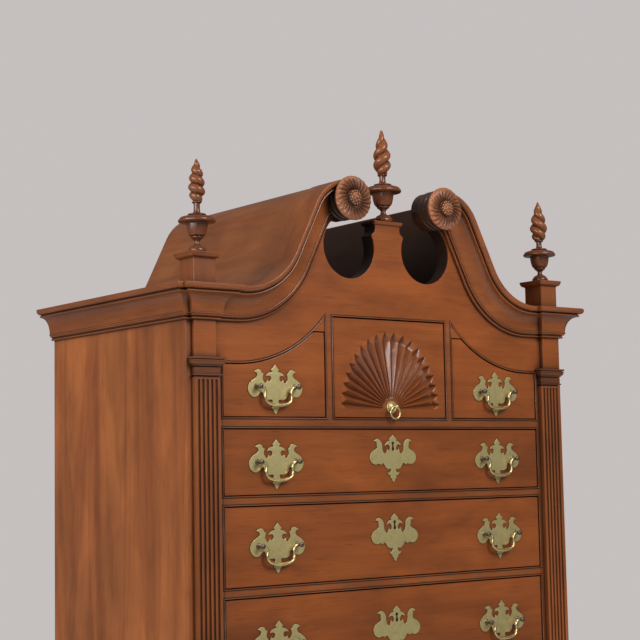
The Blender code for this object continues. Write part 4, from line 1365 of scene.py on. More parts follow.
@dataclass
class Finial:
    """Turned urn with a twisted flame."""

    node: str
    hand: int
    turns: float
    starts: int = 2
    start: float = 0.512
    flame_r: float = 0.0175
    single_r: float = 0.0160
    brim_r: float = 0.0365

    def body(self, share: float) -> float:
        """Swell and taper the flame.

        Args:
            share: Share of the flame's height.

        Returns:
            Its half width.
        """
        if self.starts == 1:
            taper = 1 - max(0.0, (share - 0.2) / 0.8) ** 2.6
            return self.single_r * min(1.0, 0.55 + 2.25 * share) * taper + 0.0005
        return self.flame_r * math.sin(math.pi * (0.135 + 0.845 * share ** 0.72)) + 0.0006

    def profile(self) -> list[Point]:
        """Draw the urn's line.

        Returns:
            The points as shares of the brim and of the height.
        """
        foot = arc((0.44, 0.021), (0.05, 0.021), -88, 80, 7)
        bell = eased([(0.42, 0.050), (0.35, 0.068), (0.23, 0.080), (0.16, 0.092), (0.14, 0.112),
                      (0.155, 0.126), (0.21, 0.139), (0.30, 0.152)], 4)
        ring = arc((0.30, 0.164), (0.045, 0.0095), -80, 80, 6)
        cup = eased([(0.40, 0.177), (0.475, 0.198), (0.53, 0.232), (0.565, 0.272), (0.585, 0.306)], 4)
        lip = [(0.62, 0.311), (0.90, 0.318)] + arc((0.955, 0.335), (0.045, 0.015), -70, 80, 7)
        cover = eased([(0.93, 0.357), (0.88, 0.371), (0.68, 0.384), (0.50, 0.394)], 4)
        knop = arc((0.435, 0.403), (0.05, 0.008), -80, 80, 5)
        neck = eased([(0.30, 0.413), (0.215, 0.423), (0.175, 0.440), (0.165, 0.470),
                      (0.170, self.start - 0.012)], 4)
        collar = arc((0.215, self.start - 0.003), (0.05, 0.008), -80, 80, 5)
        line = foot + bell + ring + cup + lip + cover + knop + neck + collar
        return [(0.0, 0.0), *line, (0.0, self.start + 0.006)]

    def build(self) -> None:
        """Turn the urn and twist the flame above it."""
        low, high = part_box(self.node)
        height, brim = high.z - low.z, (high.x - low.x) / 2
        center = ((low.x + high.x) / 2, (low.y + high.y) / 2, low.z)
        line = [(r * brim, h * height) for r, h in self.profile()]
        urn = Bench.lathe(f"{self.node}_urn", line, center, UPWARD, 48)

        def flame(u: float, v: float) -> Place:
            """Find a point of the flame.

            Args:
                u: Share of the turn.
                v: Share of the height.

            Returns:
                The point.
            """
            angle = 2 * math.pi * u
            twist = angle - self.hand * 2 * math.pi * self.turns * v
            ridge = 0.60 + 0.40 * abs(math.cos(self.starts * twist / 2)) ** 0.75
            reach = brim / self.brim_r * self.body(v) * ridge
            return (center[0] + reach * math.cos(angle), center[1] + reach * math.sin(angle),
                    center[2] + height * (self.start + (1 - self.start) * v))

        spire = Bench.skin(f"{self.node}_flame", 48, 96, flame)
        # The urn takes darker wood than the flame: painted shade.
        fit(urn, TURNED, self.node, angle=50)
        fit(spire, FLAME, angle=50)


@dataclass
class Plinth:
    """Square plinth with a flared cap, over a pilaster."""

    side: Side
    cap_h: float = 0.013

    def build(self) -> None:
        """Stack the plinth and its cap."""
        name, e = f"plinth_{self.side.label}", CAP_OUT
        low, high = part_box(name)
        top, neck = high.z, high.z - self.cap_h
        rows = [(0.0, low.z), (0.0, neck), (0.0012, neck + 0.0002), (0.0012, neck + 0.0014),
                *arc((0.0014, neck + 0.0096), (e - 0.0020, 0.0080), -90, 0, 7), (e, top - 0.0032), (e, top)]
        block = stacked(f"{name}_block", (low.x + e, low.y + e), (high.x - e, high.y - e), rows)
        # The right plinth takes the lighter panel wood: painted light, as it stands better lit than the left.
        finish = CASE_UPRIGHT if self.side is Side.LEFT else PANEL
        fit(Bench.eased_edges(block, 0.0016, 1), finish, name)


@dataclass
class Pilaster:
    """Fluted pilaster with base, capital and frieze block."""

    layout: Layout
    side: Side
    flutes: int = 5
    flute_w: float = 0.0056
    flute_deep: float = 0.0042
    margin: float = 0.0060
    spread: float = 0.0083
    capital_h: float = 0.039
    capital_top: float = 0.1132
    base_h: float = 0.055
    flute_end: tuple[Point, ...] = ((0.0, 0.02), (0.06, 0.34), (0.20, 0.60), (0.50, 0.87), (1.0, 1.0))

    def shaft(self, foot: float, top: float) -> Piece:
        """Make the shaft, whose flutes end round at top and foot.

        Args:
            foot: Lower end, z.
            top: Upper end, z.

        Returns:
            The shaft.
        """
        lay, half = self.layout, self.flute_w / 2
        front, wall, inner = lay.face - BREAK, lay.face - SEAM, lay.pilaster_in - self.spread
        pitch = (lay.pilaster_out - inner - 2 * self.margin - self.flute_w) / (self.flutes - 1)
        flat = self.flute_end[0][1]
        rows = [(foot, flat), *((foot + 0.003 + half * rise, share) for rise, share in self.flute_end)]
        rows += [(top - 0.0025 - half * rise, share) for rise, share in reversed(self.flute_end)]
        rows.append((top, flat))
        rings = []
        for z, share in rows:
            plan = [(inner, wall), (inner, front)]
            for i in range(self.flutes):
                middle = inner + self.margin + half + pitch * i
                plan += arc((middle, front), (half * share, self.flute_deep * share), 180, 0, 8)
            plan += [(lay.pilaster_out, front), (lay.pilaster_out, wall)]
            rings.append([(x, y, z) for x, y in self.side.laid(plan)])
        return Bench.eased_edges(Bench.loft("pilaster_shaft", rings), 0.0006)

    def build(self) -> None:
        """Build shaft and base as one post, the capital and the frieze block above it."""
        lay, name = self.layout, f"pilaster_{self.side.label}"
        front, wall = lay.face - BREAK, lay.face - SEAM
        foot, block_top = (corner.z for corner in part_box(name))
        shaft, cap_top = foot + self.base_h, lay.tier + self.capital_top
        cap = cap_top - self.capital_h
        x_low, x_high = self.side.span(lay.pilaster_in - self.spread, lay.pilaster_out)
        low, high = (x_low, front), (x_high, wall)
        base = [(0.005, foot), (0.005, shaft - 0.014), (0.004, shaft - 0.0138),
                *arc((0.0038, shaft - 0.0128), (-0.0038, 0.009), 0, 90, 6),
                (0.0008, shaft - 0.0015), (0.0, shaft)]
        crown = [(0.0, 0.0), (0.0, 0.0014), (-0.0024, 0.0015), (-0.0024, 0.0037),
                 *arc((0.0012, 0.0053), (0.0024, 0.0016), -90, 90, 6), (0.0005, 0.0072), (0.0005, 0.0197),
                 (-0.0022, 0.0198), (-0.0022, 0.0219), (0.0031, 0.0220), (0.0033, 0.0242),
                 *arc((0.0035, 0.0312), (0.0040, 0.0068), -90, 0, 7), (0.0080, 0.0314), (0.0082, 0.0340),
                 (0.0058, 0.0341), (0.0058, 0.0354), (0.0090, 0.0355), (0.0090, self.capital_h)]
        parts = [self.shaft(shaft, cap), Bench.eased_edges(stacked("base", low, high, base, True), 0.0006)]
        rows = [(e, cap + up) for e, up in crown]
        # The capital takes darker wood than the post: painted shade.
        fit(Bench.eased_edges(stacked(f"{name}_capital", low, high, rows, True), 0.0004), CAPITAL)
        # The right post takes the lighter wood: painted light.
        fit(Bench.joined(f"{name}_post", parts), POST if self.side is Side.LEFT else RIGHT_POST_LIT, name)
        x_low, x_high = self.side.span(lay.pilaster_in, lay.pilaster_out)
        rows = [(0.0, cap_top), (0.0, block_top)]
        frieze = stacked(f"{name}_frieze", (x_low, front), (x_high, wall), rows, True)
        fit(Bench.eased_edges(frieze), FRONT)


@dataclass
class UpperCase:
    """Sides with their stiles, and the beads round the drawer openings."""

    layout: Layout
    tympanum: Tympanum
    bead_r: float = 0.0013
    quirk_r: float = 0.0017
    stile_t: float = 0.022

    def sides(self) -> None:
        """Build both sides with their front stiles."""
        lay = self.layout
        for side in Side:
            name = f"upper_side_{side.label}"
            low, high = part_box(name)
            x_low, x_high = side.span(lay.half_w - SIDE_T, lay.half_w)
            panel = Bench.block(f"{name}_panel", (x_low, lay.face, low.z), (x_high, lay.back, high.z))
            fit(Bench.eased_edges(panel, 0.0015), PANEL, name)
            x_low, x_high = side.span(lay.opening, lay.half_w - SIDE_T - 0.0002)
            top, back = lay.tier + self.tympanum.small_h - SEAM, lay.face + self.stile_t
            stile = Bench.block(f"{name}_stile", (x_low, lay.face, low.z), (x_high, back, top))
            fit(Bench.eased_edges(stile), CASE_UPRIGHT)

    def outlines(self, grow: float) -> list[list[Point]]:
        """Draw the outlines of the drawer openings.

        Args:
            grow: Margin round each opening.

        Returns:
            One outline for each opening.
        """
        lay, made = self.layout, []
        for number in range(1, 5):
            low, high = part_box(f"upper_drawer_{number}")
            made.append(rectangle(lay.opening + grow, low.z - grow - SEAM, high.z + grow + PLAY))
        made.append(rectangle(lay.fan_half + grow, lay.tier - grow, lay.tier + FAN_H + grow))
        inner, outer = lay.divider - grow, lay.opening + grow
        arch = self.tympanum.arch(grow, self.tympanum.reach(grow, inner))
        half = [(inner, lay.tier - grow), (outer, lay.tier - grow), (outer, arch[-1][1]), *arch[::-1]]
        return made + [side.laid(half) for side in Side]

    def beads(self) -> None:
        """Bend a bead round each opening, with a near-black strip outside it that paints the shade in a
        quirk.
        """
        # The quirk is a near-black strip, not a cut groove: painted shade.
        for name, radius, grow, sink, finish in (
                ("upper_beads", self.bead_r, self.bead_r, -0.0006, CASE),
                ("upper_quirks", self.quirk_r, 2 * self.bead_r + 0.0010, 0.0014, SHADE)):
            made = []
            for outline in self.outlines(grow):
                line = [(x, self.layout.face + sink, z) for x, z in outline]
                made.append(Bench.curve("bead", False, [line], True, range(len(line)), bevel=radius))
            fit(Bench.joined(name, made), finish, angle=50)

    def build(self) -> None:
        """Build the sides and the beads."""
        self.sides()
        self.beads()


@dataclass
class Brasses:
    """Batwing plates, posts, keyhole plates and bails for one chest."""

    span: float = 0.046
    bail_off: float = 0.0125
    drop: float = 0.036
    scale: float = 0.001
    wing: tuple[Point, ...] = (
        (0, 42.6), (4.2, 38.2), (8.9, 33.4), (4.6, 29.8), (10.4, 28.4), (16.8, 26.2), (21.4, 21.6),
        (15.2, 22.2), (11, 20.8), (9.4, 17), (10.6, 13), (14.2, 10.4), (19.2, 12.6), (20.6, 8.6),
        (23.8, 6.6), (27.4, 10.2), (30.6, 15.8), (30, 20.4), (28.6, 25.8), (32.2, 26.6), (34.4, 31),
        (40, 33.4), (49.4, 29.6), (43.8, 27), (42, 22.8), (45, 18), (53.5, 12.6), (60.6, 6.6),
        (64.6, -1.4), (62.6, -11), (56.4, -17.6), (49.4, -19.6), (42.6, -17), (38, -12.6), (33, -9.8),
        (29.2, -12), (28, -18.2), (23.8, -22.8), (17, -25), (9.8, -24), (6.4, -27.4), (7.4, -31.5),
        (5.8, -36.5), (9, -41), (5.4, -43.8), (3.4, -48.6), (0, -53.4))
    tips: tuple[int, ...] = (0, 2, 3, 6, 12, 18, 22, 39, 43, 46)
    lock: tuple[Point, ...] = (
        (0, 43.5), (5, 39), (9.2, 34.4), (7, 31.3), (12.6, 30.5), (17.4, 27.5), (21.2, 22.9), (12.3, 24.4),
        (8.6, 20.6), (8, 14), (11.6, 11.4), (15.3, 14.5), (17.5, 9.2), (19.8, 4.6), (25.5, 7.6), (29, 15),
        (30, 26), (36, 33.4), (42, 35.5), (50, 31.7), (44, 30), (42.5, 24), (41.5, 17), (47, 13.4), (54, 9.9),
        (59.8, 3.8), (61.5, -2.3), (59.1, -9.9), (53.8, -14.5), (46.6, -16.4), (39.6, -14.5), (32.9, -16.8),
        (27.5, -13.7), (23.3, -17.5), (19, -22.9), (12.8, -25.9), (6.9, -24.4), (6.2, -29), (9.4, -33.5),
        (15.4, -33.5), (11.7, -38.1), (6.1, -39.2), (7.4, -43.4), (4.3, -45.7), (3.1, -49.5), (0, -52.6))
    lock_tips: tuple[int, ...] = (0, 3, 6, 11, 13, 19, 22, 31, 36, 39, 41, 45)
    lock_up: float = 0.0079

    def plate(self, keyhole: bool) -> Piece:
        """Saw one plate about the origin, its face towards the front.

        Args:
            keyhole: True to pierce it for a key.

        Returns:
            The plate, upright in the x-z plane.
        """
        outline, tips = (self.lock, self.lock_tips) if keyhole else (self.wing, self.tips)
        half = [(x * self.scale, z * self.scale, 0.0) for x, z in outline]
        line = half + [(-x, z, 0.0) for x, z, _ in half[-2:0:-1]]
        sharp = set(tips) | {len(line) - i for i in tips if i}
        lines = [line]
        if keyhole:
            hole = arc((0.0, 0.0268), (0.0040, 0.0040), -56, 236, 8)
            slot = [(-0.0024, 0.0216), (-0.0034, 0.0124), (0.0, 0.0110), (0.0034, 0.0124), (0.0024, 0.0216)]
            lines.append([(x, z, 0.0) for x, z in hole + slot])
        plate = Bench.curve("plate", True, lines, True, sorted(sharp), depth=0.0004, bevel=0.0005)
        return Bench.shape(plate, lambda p: (p.x, -p.z - 0.0010, p.y))

    def post(self) -> Piece:
        """Turn one post with its rose and knob about the origin.

        Returns:
            The post.
        """
        profile = [(0.0, -0.002), (0.0060, -0.002), (0.0060, 0.0018), (0.0054, 0.0026), (0.0041, 0.0032),
                   (0.0040, 0.0146), *arc((0.0018, 0.0178), (0.0036, 0.0032), -70, 70, 8),
                   (0.0018, 0.0210), (0.0, 0.0213)]
        return Bench.smooth(Bench.lathe("post", profile, (0, 0, 0), FORWARD, 24), 50)

    def bail(self, name: str, lean: float) -> None:
        """Bend one bail on its hinge line and hang it on its body.

        Args:
            name: Bail body.
            lean: Lean of the bail at rest, in radians.
        """
        x, y, z = hinge(name)
        end = self.span - 0.0045
        half = [(end, 0.0), (end - 0.0042, -0.0005), (0.0330, -0.0040), (0.0310, -0.0110),
                (0.0322, -0.0195), (0.0288, -0.0285), (0.0168, -0.0343)]
        course = [(-a, b) for a, b in half] + [(0.0, -self.drop)] + half[::-1]
        line = [(x + a, y + b * math.sin(lean), z + b * math.cos(lean)) for a, b in course]
        swell = [0.56 + 0.44 * (1 - abs(a) / end) ** 0.8 for a, _ in course]
        made = Bench.curve(f"{name}_wire", False, [line], False, radii=swell, bevel=0.0038)
        fit(made, BAIL, name, body=name, angle=50)

    def bails(self, layout: Layout) -> None:
        """Hang every bail: upright on the flat fronts, leaning with the swelled ones.

        Args:
            layout: Places of the chest.
        """
        reach = self.drop + self.bail_off
        for side in Side:
            for place in ("small", *(f"upper_{number}" for number in range(1, 5))):
                self.bail(f"bail_{place}_{side.label}", 0.0)
            for number in range(1, 4):
                name = f"bail_lower_{number}_{side.label}"
                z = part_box(name)[1].z
                slope = (layout.lower_y(z) - layout.lower_y(z - reach)) / reach
                self.bail(name, max(0.0, math.atan(slope)))

    def mount(self, drawer: str, pulls: Sequence[Point], locks: Sequence[Point],
              face: Callable[[float], float]) -> None:
        """Put plates and posts on a drawer front.

        Args:
            drawer: Drawer body.
            pulls: (x, z) of each pull.
            locks: (x, z) of each keyhole plate.
            face: Gives the front's y at a height.
        """
        plates, posts, keyhole_shades = [], [], []
        for spots, pierced in ((pulls, False), (locks, True)):
            for x, z in spots:
                made = [self.plate(pierced)]
                if pierced:
                    # A near-black block behind each keyhole paints the shade inside the lock.
                    made.append(Bench.block("keyway", (-0.0048, -0.0006, 0.0098), (0.0048, 0.0040, 0.0320)))
                    keyhole_shades.append(made[1])
                for piece in made:
                    Bench.shape(piece, lambda p: (p.x + x, p.y + face(p.z + z), p.z + z))
                plates.append(Bench.smooth(made[0], 30))
        for x, z in pulls:
            for end in (-self.span, self.span):
                posts.append(Bench.shape(self.post(), lambda p: (p.x + x + end, p.y + face(z), p.z + z)))
        # Knobs take the darkened brass: tarnish and painted dark reflection; keyhole blocks take painted
        # shade.
        for part, pieces, finish in (("plates", plates, BRASS), ("posts", posts, KNOB_BRASS_SHADED),
                                     ("keyway", keyhole_shades, SHADE)):
            if pieces:
                fit(Bench.joined(f"{drawer}_{part}", pieces), finish, body=drawer, angle=0)


@dataclass
class Drawer:
    """A drawer: shaped front, open tray and brasses."""

    name: str
    layout: Layout
    brasses: Brasses
    front_t: float = 0.020
    tray_share: float = 0.72
    wall: float = 0.011
    rear: float = 0.032
    ease: float = 0.0006
    slack: float = 0.003

    @property
    def bay(self) -> Point:
        """Return the foot and the height of the drawer's opening."""
        low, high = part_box(self.name)
        return low.z - SEAM, high.z - low.z + SEAM + PLAY

    def tray(self, x_low: float, x_high: float, y_front: float, floor: float, height: float) -> None:
        """Build the tray: sides, back and bottom behind the front.

        Args:
            x_low: Left side.
            x_high: Right side.
            y_front: Rear of the drawer front.
            floor: Floor of the opening.
            height: Height of the opening.
        """
        back = self.layout.back - self.rear
        low, top, t = floor + 0.001, floor + height * self.tray_share, self.wall
        boards = [((x_low, y_front, low), (x_low + t, back, top)),
                  ((x_high - t, y_front, low), (x_high, back, top)),
                  ((x_low + t, back - t, low + 0.004), (x_high - t, back, top - 0.004)),
                  ((x_low + t, y_front, low + 0.002), (x_high - t, back - t, low + 0.009))]
        parts = [Bench.eased_edges(Bench.block("board", a, b), 0.0008) for a, b in boards]
        fit(Bench.joined(f"{self.name}_tray", parts), PINE.along(Grain.DEPTH), body=self.name)

    def flat_front(self, outline: Sequence[Point]) -> Piece:
        """Saw the front to its outline and ease its edges."""
        board = Bench.board(f"{self.name}_front", outline, self.layout.face, self.layout.face + self.front_t)
        return Bench.eased_edges(board, 0.0016)

    def square_front(self, half: float) -> Piece:
        """Saw a square front for a drawer of this half width."""
        low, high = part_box(self.name)
        return self.flat_front(rectangle(half - self.ease, low.z + PLAY, high.z - 0.0008))

    def two_pulls(self, face: Callable[[float], float]) -> None:
        """Mount two pulls with a keyhole plate between them.

        Args:
            face: Gives the front's y at a height.
        """
        floor, height = self.bay
        pull, middle = self.layout.opening * PULL_SHARE, floor + height / 2
        self.brasses.mount(self.name, [(-pull, middle), (pull, middle)],
                           [(0.0, middle + self.brasses.lock_up)], face)


@dataclass
class LongDrawer(Drawer):
    """Full-width drawer of the upper case."""

    def build(self) -> None:
        """Build front, tray and brasses."""
        x, face = self.layout.opening - PLAY, self.layout.face
        fit(self.square_front(x), FRONT, self.name, body=self.name)
        floor, height = self.bay
        self.tray(self.slack - x, x - self.slack, face + self.front_t, floor + SEAM, height)
        self.two_pulls(lambda z: face)


@dataclass
class SmallDrawer(Drawer):
    """Arched drawer beside the fan drawer."""

    side: Side = Side.LEFT
    tympanum: Tympanum | None = None
    arch_in: float = 0.0020
    pull_up: float = 0.0597

    def build(self) -> None:
        """Build front, tray and brasses."""
        lay, floor = self.layout, self.layout.tier + SEAM
        inner, outer = lay.divider + PLAY, lay.opening - PLAY
        arch = self.tympanum.arch(-self.arch_in, self.tympanum.clip_h - self.arch_in)
        start, end, bottom = inner + self.ease, outer - self.ease, floor + PLAY
        half = [(start, bottom), (end, bottom), (end, arch[-1][1]), *arch[::-1], (start, arch[0][1])]
        fit(self.flat_front(self.side.laid(half)), FRONT, self.name, body=self.name)
        x_low, x_high = self.side.span(inner + self.slack, outer - self.slack)
        self.tray(x_low, x_high, lay.face + self.front_t, floor, self.tympanum.small_h)
        pull = (self.side.value * lay.opening * PULL_SHARE, lay.tier + self.pull_up)
        self.brasses.mount(self.name, [pull], [], lambda z: lay.face)


@dataclass
class FanDrawer(Drawer):
    """Middle drawer with the carved fan and its ring pull."""

    grooves: int = 20
    seat: float = 0.0195
    margin: float = 0.0195
    rise: float = 0.160
    sink: float = 0.0108
    hub: float = 0.0225
    deep: float = 0.0125
    round_at: float = 0.87
    ring_r: float = 0.0125
    ring_gap: float = 0.0041

    def carving(self, half_span: float, hub_z: float) -> Piece:
        """Carve the fan's flutes on a polar grid.

        Args:
            half_span: Half the fan's width.
            hub_z: Height of its hub.

        Returns:
            The carved fan.
        """
        face, pitch, turn = self.layout.face, math.pi / self.grooves, self.round_at
        columns, rows = self.grooves * 22 + 2, 56

        def place(u: float, v: float) -> Place:
            """Find a point of the fan.

            Args:
                u: Share of the half turn.
                v: Share of the radius.

            Returns:
                The point.
            """
            column, row = round(u * columns), round(v * rows)
            angle = math.pi * min(max(column - 1, 0), columns - 2) / (columns - 2)
            share = min(row, rows - 1) / (rows - 1)
            way = (math.cos(angle), math.sin(angle))
            rim = 1.0 / math.hypot(way[0] / half_span, way[1] / self.rise)
            off = abs((angle / pitch) % 1.0 - 0.5) * 2.0
            start = self.hub / rim
            along = min(max((share - start) / (1.0 - start), 0.0), 1.0)
            left = (1.0 - along) / (1.0 - turn)
            width = 0.80 + 0.20 * along / turn if along < turn else max(left, 0.02)
            end = 1.0 if along < turn else max(left, 0.0) ** 0.40
            cut = max(0.0, 1.0 - off / width) ** 0.85
            deep = self.sink * cut * end * (0.22 + 0.78 * min(1.0, along / 0.72)) if along > 0.0 else 0.0
            if row == rows or column in (0, columns):
                deep = self.deep
            return (rim * share * way[0], face + deep, hub_z + rim * share * way[1])

        return Bench.skin(f"{self.name}_fan", columns, rows, place)

    def ring_pull(self) -> None:
        """Turn the rose with its post and bend the ring."""
        axis, r = hinge("fan_ring"), self.ring_r
        rose = [(0.0, -0.002), (0.0130, -0.002), (0.0130, 0.0008), (0.0121, 0.0018), (0.0104, 0.0019),
                (0.0094, 0.0012), (0.0084, 0.0018), (0.0070, 0.0034), (0.0048, 0.0042), (0.0030, 0.0050),
                (0.0027, 0.0100), (0.0027, 0.0146), *arc((0.0012, 0.0172), (0.0032, 0.0028), -70, 70, 8),
                (0.0, 0.0203)]
        plate = Bench.lathe(f"{self.name}_rose", rose, (0.0, self.layout.face, axis.z), FORWARD, 32)
        fit(plate, BRASS, body=self.name, angle=40)
        gap = math.asin(self.ring_gap / r)
        turns = [math.pi / 2 + gap + (2 * math.pi - 2 * gap) * i / 16 for i in range(17)]
        middle = axis.z - r * math.cos(gap)
        line = [(axis.x + r * math.cos(t), axis.y, middle + r * math.sin(t)) for t in turns]
        ring = Bench.curve("fan_ring_wire", False, [line], False, bevel=0.0021)
        fit(ring, BAIL, "fan_ring", body="fan_ring", angle=50)

    def build(self) -> None:
        """Build front, fan, tray and ring pull."""
        lay, x = self.layout, self.layout.fan_half - PLAY
        front = self.square_front(x)
        half_span, hub_z = lay.fan_half - self.margin, lay.tier + self.seat
        recess = arc((0.0, hub_z - 0.0002), (half_span + 0.0002, self.rise + 0.0004), 0, 180, 72)
        Bench.combine(front, Bench.board("recess", recess, lay.face - 0.01, lay.face + self.deep + 0.0002))
        fit(front, FRONT, self.name, body=self.name)
        fit(self.carving(half_span, hub_z), FAN, body=self.name, angle=38)
        self.tray(self.slack - x, x - self.slack, lay.face + self.front_t, lay.tier + SEAM, FAN_H)
        self.ring_pull()


@dataclass
class SwelledDrawer(Drawer):
    """Bombe drawer of the lower case."""

    front_t: float = 0.024

    def build(self) -> None:
        """Build the swelled front, tray and brasses."""
        lay, inset = self.layout, LOWER_T + PLAY
        low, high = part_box(self.name)
        back = lay.lower_face + self.front_t
        front = Bench.block(f"{self.name}_front", (-1.0, lay.lower_face, low.z), (1.0, back, high.z))
        Bench.slice_up(front, 15)
        Bench.shape(front, lambda p: (math.copysign(lay.lower_x(p.z) - inset, p.x),
                                      p.y if p.y > lay.lower_face + 0.001 else lay.lower_y(p.z), p.z))
        fit(Bench.eased_edges(front, 0.0011), FRONT, self.name, body=self.name)
        straight = lay.lower_half - inset - self.slack
        self.tray(-straight, straight, back, low.z, self.bay[1])
        self.two_pulls(lay.lower_y)


@dataclass
class LowerCase:
    """Swelled sides, waist and base mouldings and the bracket feet."""

    layout: Layout
    foot_t: float = 0.030
    foot_out: float = 0.008
    ankle: float = 0.085
    wing: float = 0.175
    ogee: float = 0.011
    bead_r: float = 0.0017

    def sides(self) -> None:
        """Bend the swelled sides from blocks."""
        lay = self.layout
        for side in Side:
            s, name = side.value, f"lower_side_{side.label}"
            low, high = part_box(name)
            x_low, x_high = side.span(lay.lower_half - LOWER_T, lay.lower_half)
            board = Bench.block(f"{name}_board", (x_low, lay.lower_face, low.z), (x_high, lay.back, high.z))
            Bench.slice_up(board, 47)
            Bench.shape(board, lambda p: (p.x + s * (lay.lower_x(p.z) - lay.lower_half),
                                          p.y if p.y > lay.lower_face + 0.001 else lay.lower_y(p.z), p.z))
            fit(Bench.eased_edges(board, 0.0012), CASE_UPRIGHT, name)

    def mouldings(self) -> None:
        """Run the waist and base mouldings."""
        lay, waist, base = self.layout, self.layout.waist, self.layout.base
        low, high = (-lay.lower_half, lay.lower_face), (lay.lower_half, lay.back)
        inset, top = lay.half_w + 0.005 - lay.lower_half, lay.waist_top
        rows = [(0.0, waist), *arc((0.001, waist + 0.015), (0.013, 0.014), -90, 0, 9),
                (0.0136, waist + 0.0155), *arc((0.0100, waist + 0.0205), (0.0040, 0.0050), -90, 90, 9),
                (0.0100, top - 0.0022), *arc((0.0088, top + 0.0130), (inset - 0.0088, -0.014), 90, 0, 9),
                (inset, top + 0.0180)]
        run = stacked("waist_moulding_run", low, high, rows, True)
        well = Bench.block("well", (-lay.half_w - SEAM, lay.face - SEAM, top),
                           (lay.half_w + SEAM, lay.back + 0.1, top + 0.05))
        fit(Bench.combine(run, well), CASE, "waist_moulding")
        rows = [(0.015, base), (0.016, base + 0.0006), (0.016, base + 0.0125), (0.015, base + 0.0135),
                (0.0132, base + 0.0140), *arc((0.0130, base + 0.0282), (-0.0088, -0.0140), 90, 0, 9),
                (0.0034, lay.base_top - 0.0025), (0.0030, lay.base_top)]
        fit(stacked("base_moulding_run", low, high, rows, True), CASE, "base_moulding")

    def foot(self, side: Side, rear: bool) -> None:
        """Shape one ogee bracket foot.

        Args:
            side: Side of the chest.
            rear: True for a rear foot.
        """
        lay, t, name = self.layout, self.foot_t, f"foot_{'rear' if rear else 'front'}_{side.label}"
        top, corner_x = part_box(name)[1].z, lay.lower_half + self.foot_out
        corner_y, inward = (lay.back, -1) if rear else (lay.lower_face - self.foot_out, 1)
        rings = []
        for share in (i / 24 for i in range(25)):
            bend = self.ogee * math.cos(2 * math.pi * (share - 0.72) / 0.8)
            wing = self.ankle + (self.wing - self.ankle) * share ** 3
            x, y = corner_x + bend, corner_y - (0.0 if rear else bend)
            plan = [(x, y), (x - wing, y), (x - wing, y + inward * t), (x - t, y + inward * t),
                    (x - t, y + inward * wing), (x, y + inward * wing)]
            rings.append([(px, py, share * top) for px, py in side.laid(plan)])
        fit(Bench.eased_edges(Bench.loft(f"{name}_bracket", rings), 0.0012), CASE, name)

    def beads(self) -> None:
        """Bend beads round the swelled drawer openings."""
        lay, r, made = self.layout, self.bead_r, []
        for number in range(1, 4):
            low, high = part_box(f"lower_drawer_{number}")
            for z in (low.z - r - SEAM, high.z + r + PLAY):
                x, y = lay.lower_x(z) - LOWER_T, lay.lower_y(z) + 0.0004
                made.append(Bench.curve("bead", False, [[(-x, y, z), (x, y, z)]], False, (0, 1), bevel=r))
        fit(Bench.joined("lower_beads", made), CASE, angle=50)

    def build(self) -> None:
        """Build the whole lower case."""
        self.sides()
        self.mouldings()
        for side in Side:
            for rear in (False, True):
                self.foot(side, rear)
        self.beads()


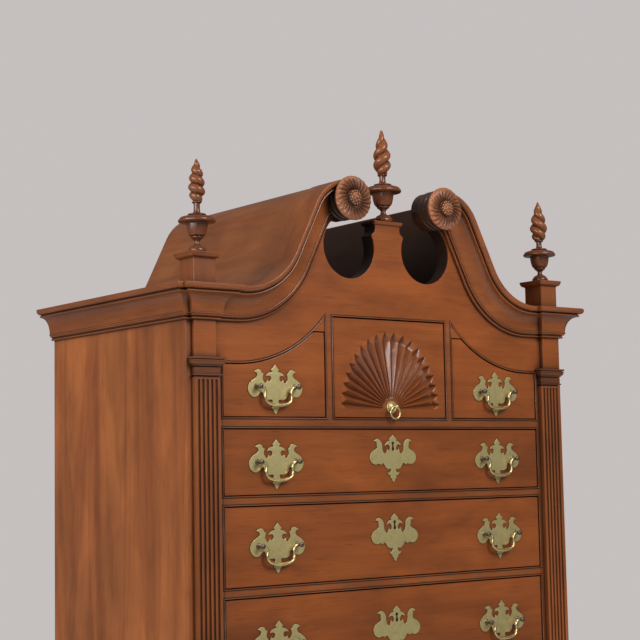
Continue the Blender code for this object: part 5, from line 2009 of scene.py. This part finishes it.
@dataclass
class Studio:
    """Camera at the photo's angle, pale floor and soft lamps."""

    layout: Layout
    yaw: float = math.radians(37.33)
    pitch: float = math.radians(5.653)
    roll: float = math.radians(-1.082)
    lens: float = 85.69
    sensor: float = 36.0
    stand: Place = (-2.034, -2.428, -0.1053)
    wall: Colour = (0.558, 0.527, 0.519)
    lamps: tuple[tuple[Place, float, float, bool], ...] = (
        ((-4.0, -0.4, 2.9), 2.4, 150.0, True), ((0.5, -3.6, 3.9), 2.0, 150.0, True),
        ((-3.15, -2.0, 2.35), 1.0, 34.0, False))

    def camera(self) -> None:
        """Set the camera where the photo was taken."""
        bpy.ops.object.camera_add()
        camera = bpy.context.object
        ahead = Vector((math.sin(self.yaw) * math.cos(self.pitch), math.cos(self.yaw) * math.cos(self.pitch),
                        math.sin(self.pitch)))
        right = Vector((math.cos(self.yaw), -math.sin(self.yaw), 0.0))
        up = right.cross(ahead)
        turned = right * math.cos(self.roll) + up * math.sin(self.roll)
        risen = up * math.cos(self.roll) - right * math.sin(self.roll)
        spot = Vector((0.0, self.layout.face, self.layout.tier)) + Vector(self.stand)
        camera.matrix_world = Matrix.Translation(spot) @ Matrix((turned, risen, -ahead)).transposed().to_4x4()
        camera.data.lens, camera.data.sensor_width = self.lens, self.sensor
        bpy.context.scene.camera = camera

    def floor(self) -> None:
        """Lay the pale floor."""
        bpy.ops.object.select_all(action="DESELECT")
        bpy.ops.mesh.primitive_plane_add(size=14.0)
        floor = Bench.named("floor")
        made, sheet, shader = blank_material("pale_floor")
        cloud = sheet.noise(sheet.add("ShaderNodeTexCoord").outputs["Object"], (1.5, 1.5, 1.5), 3.0)
        tint = sheet.blend(cloud, (0.74, 0.72, 0.71, 1), (0.80, 0.79, 0.78, 1))
        sheet.feed(shader, {"Base Color": tint, "Roughness": 0.7})
        floor.data.materials.append(made)

    def light(self) -> None:
        """Hang the lamps and set the backdrop that the camera sees."""
        aim = Vector((0.0, self.layout.face, self.layout.tier - 0.2))
        for place, size, power, lights_all in self.lamps:
            bpy.ops.object.light_add(type="AREA", location=place)
            lamp = bpy.context.object
            lamp.data.energy, lamp.data.size = power, size
            lamp.visible_diffuse = lights_all
            lamp.rotation_euler = (aim - Vector(place)).to_track_quat("-Z", "Y").to_euler()
        bpy.context.scene.view_settings.view_transform = "Standard"
        world = bpy.data.worlds.new("studio")
        bpy.context.scene.world = world
        world.use_nodes = True
        sheet, nodes = Sheet(world.node_tree), world.node_tree.nodes
        ambient = nodes["Background"]
        sheet.feed(ambient, {"Color": (0.93, 0.96, 1.0, 1), "Strength": 0.15})
        seen = sheet.add("ShaderNodeBackground", {"Color": (*self.wall, 1), "Strength": 1.0})
        ray = sheet.add("ShaderNodeLightPath").outputs["Is Camera Ray"]
        mixed = sheet.add("ShaderNodeMixShader", {0: ray, 1: ambient.outputs[0], 2: seen.outputs[0]})
        sheet.feed(nodes["World Output"], {"Surface": mixed.outputs[0]})

    def build(self) -> None:
        """Set up camera, floor and light."""
        self.camera()
        self.floor()
        self.light()


def finish_cad_boards() -> None:
    """Give the CAD boards that stay in view their wood."""
    inside = ("upper_bottom", "dust_board_2", "dust_board_3", "dust_board_4", "small_drawer_partition",
              "lower_dust_board_1", "lower_dust_board_2")
    for names, finish in ((("upper_back", "lower_back"), BACKING), (inside, CASE)):
        for name in names:
            dress(FRAME["nodes"][name], finish)


def main() -> None:
    """Build every sub-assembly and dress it."""
    logging.basicConfig(level=logging.INFO, format="%(message)s")
    FRAME.update(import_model())
    layout = Layout.read()
    swan = SwanNeck(layout)
    tympanum = Tympanum(layout, swan)
    brasses = Brasses()
    LOG.info("case")
    tympanum.build()
    UpperCase(layout, tympanum).build()
    for side in Side:
        for piece in (CrownMoulding(layout, swan, side), Bonnet(layout, swan, side),
                      Rosette(layout, swan, side), Plinth(side), Pilaster(layout, side)):
            piece.build()
    for finial in (Finial("finial_left", -1, 4.6, 1, 0.536), Finial("finial_center", 1, 1.95),
                   Finial("finial_right", -1, 1.95, flame_r=0.0190)):
        finial.build()
    LOG.info("drawers")
    for number in range(1, 5):
        LongDrawer(f"upper_drawer_{number}", layout, brasses).build()
    for side in Side:
        SmallDrawer(f"small_drawer_{side.label}", layout, brasses, side=side, tympanum=tympanum).build()
    FanDrawer("fan_drawer", layout, brasses).build()
    for number in range(1, 4):
        SwelledDrawer(f"lower_drawer_{number}", layout, brasses).build()
    brasses.bails(layout)
    LOG.info("lower case")
    LowerCase(layout).build()
    finish_cad_boards()
    Studio(layout).build()


if __name__ == "__main__":
    main()
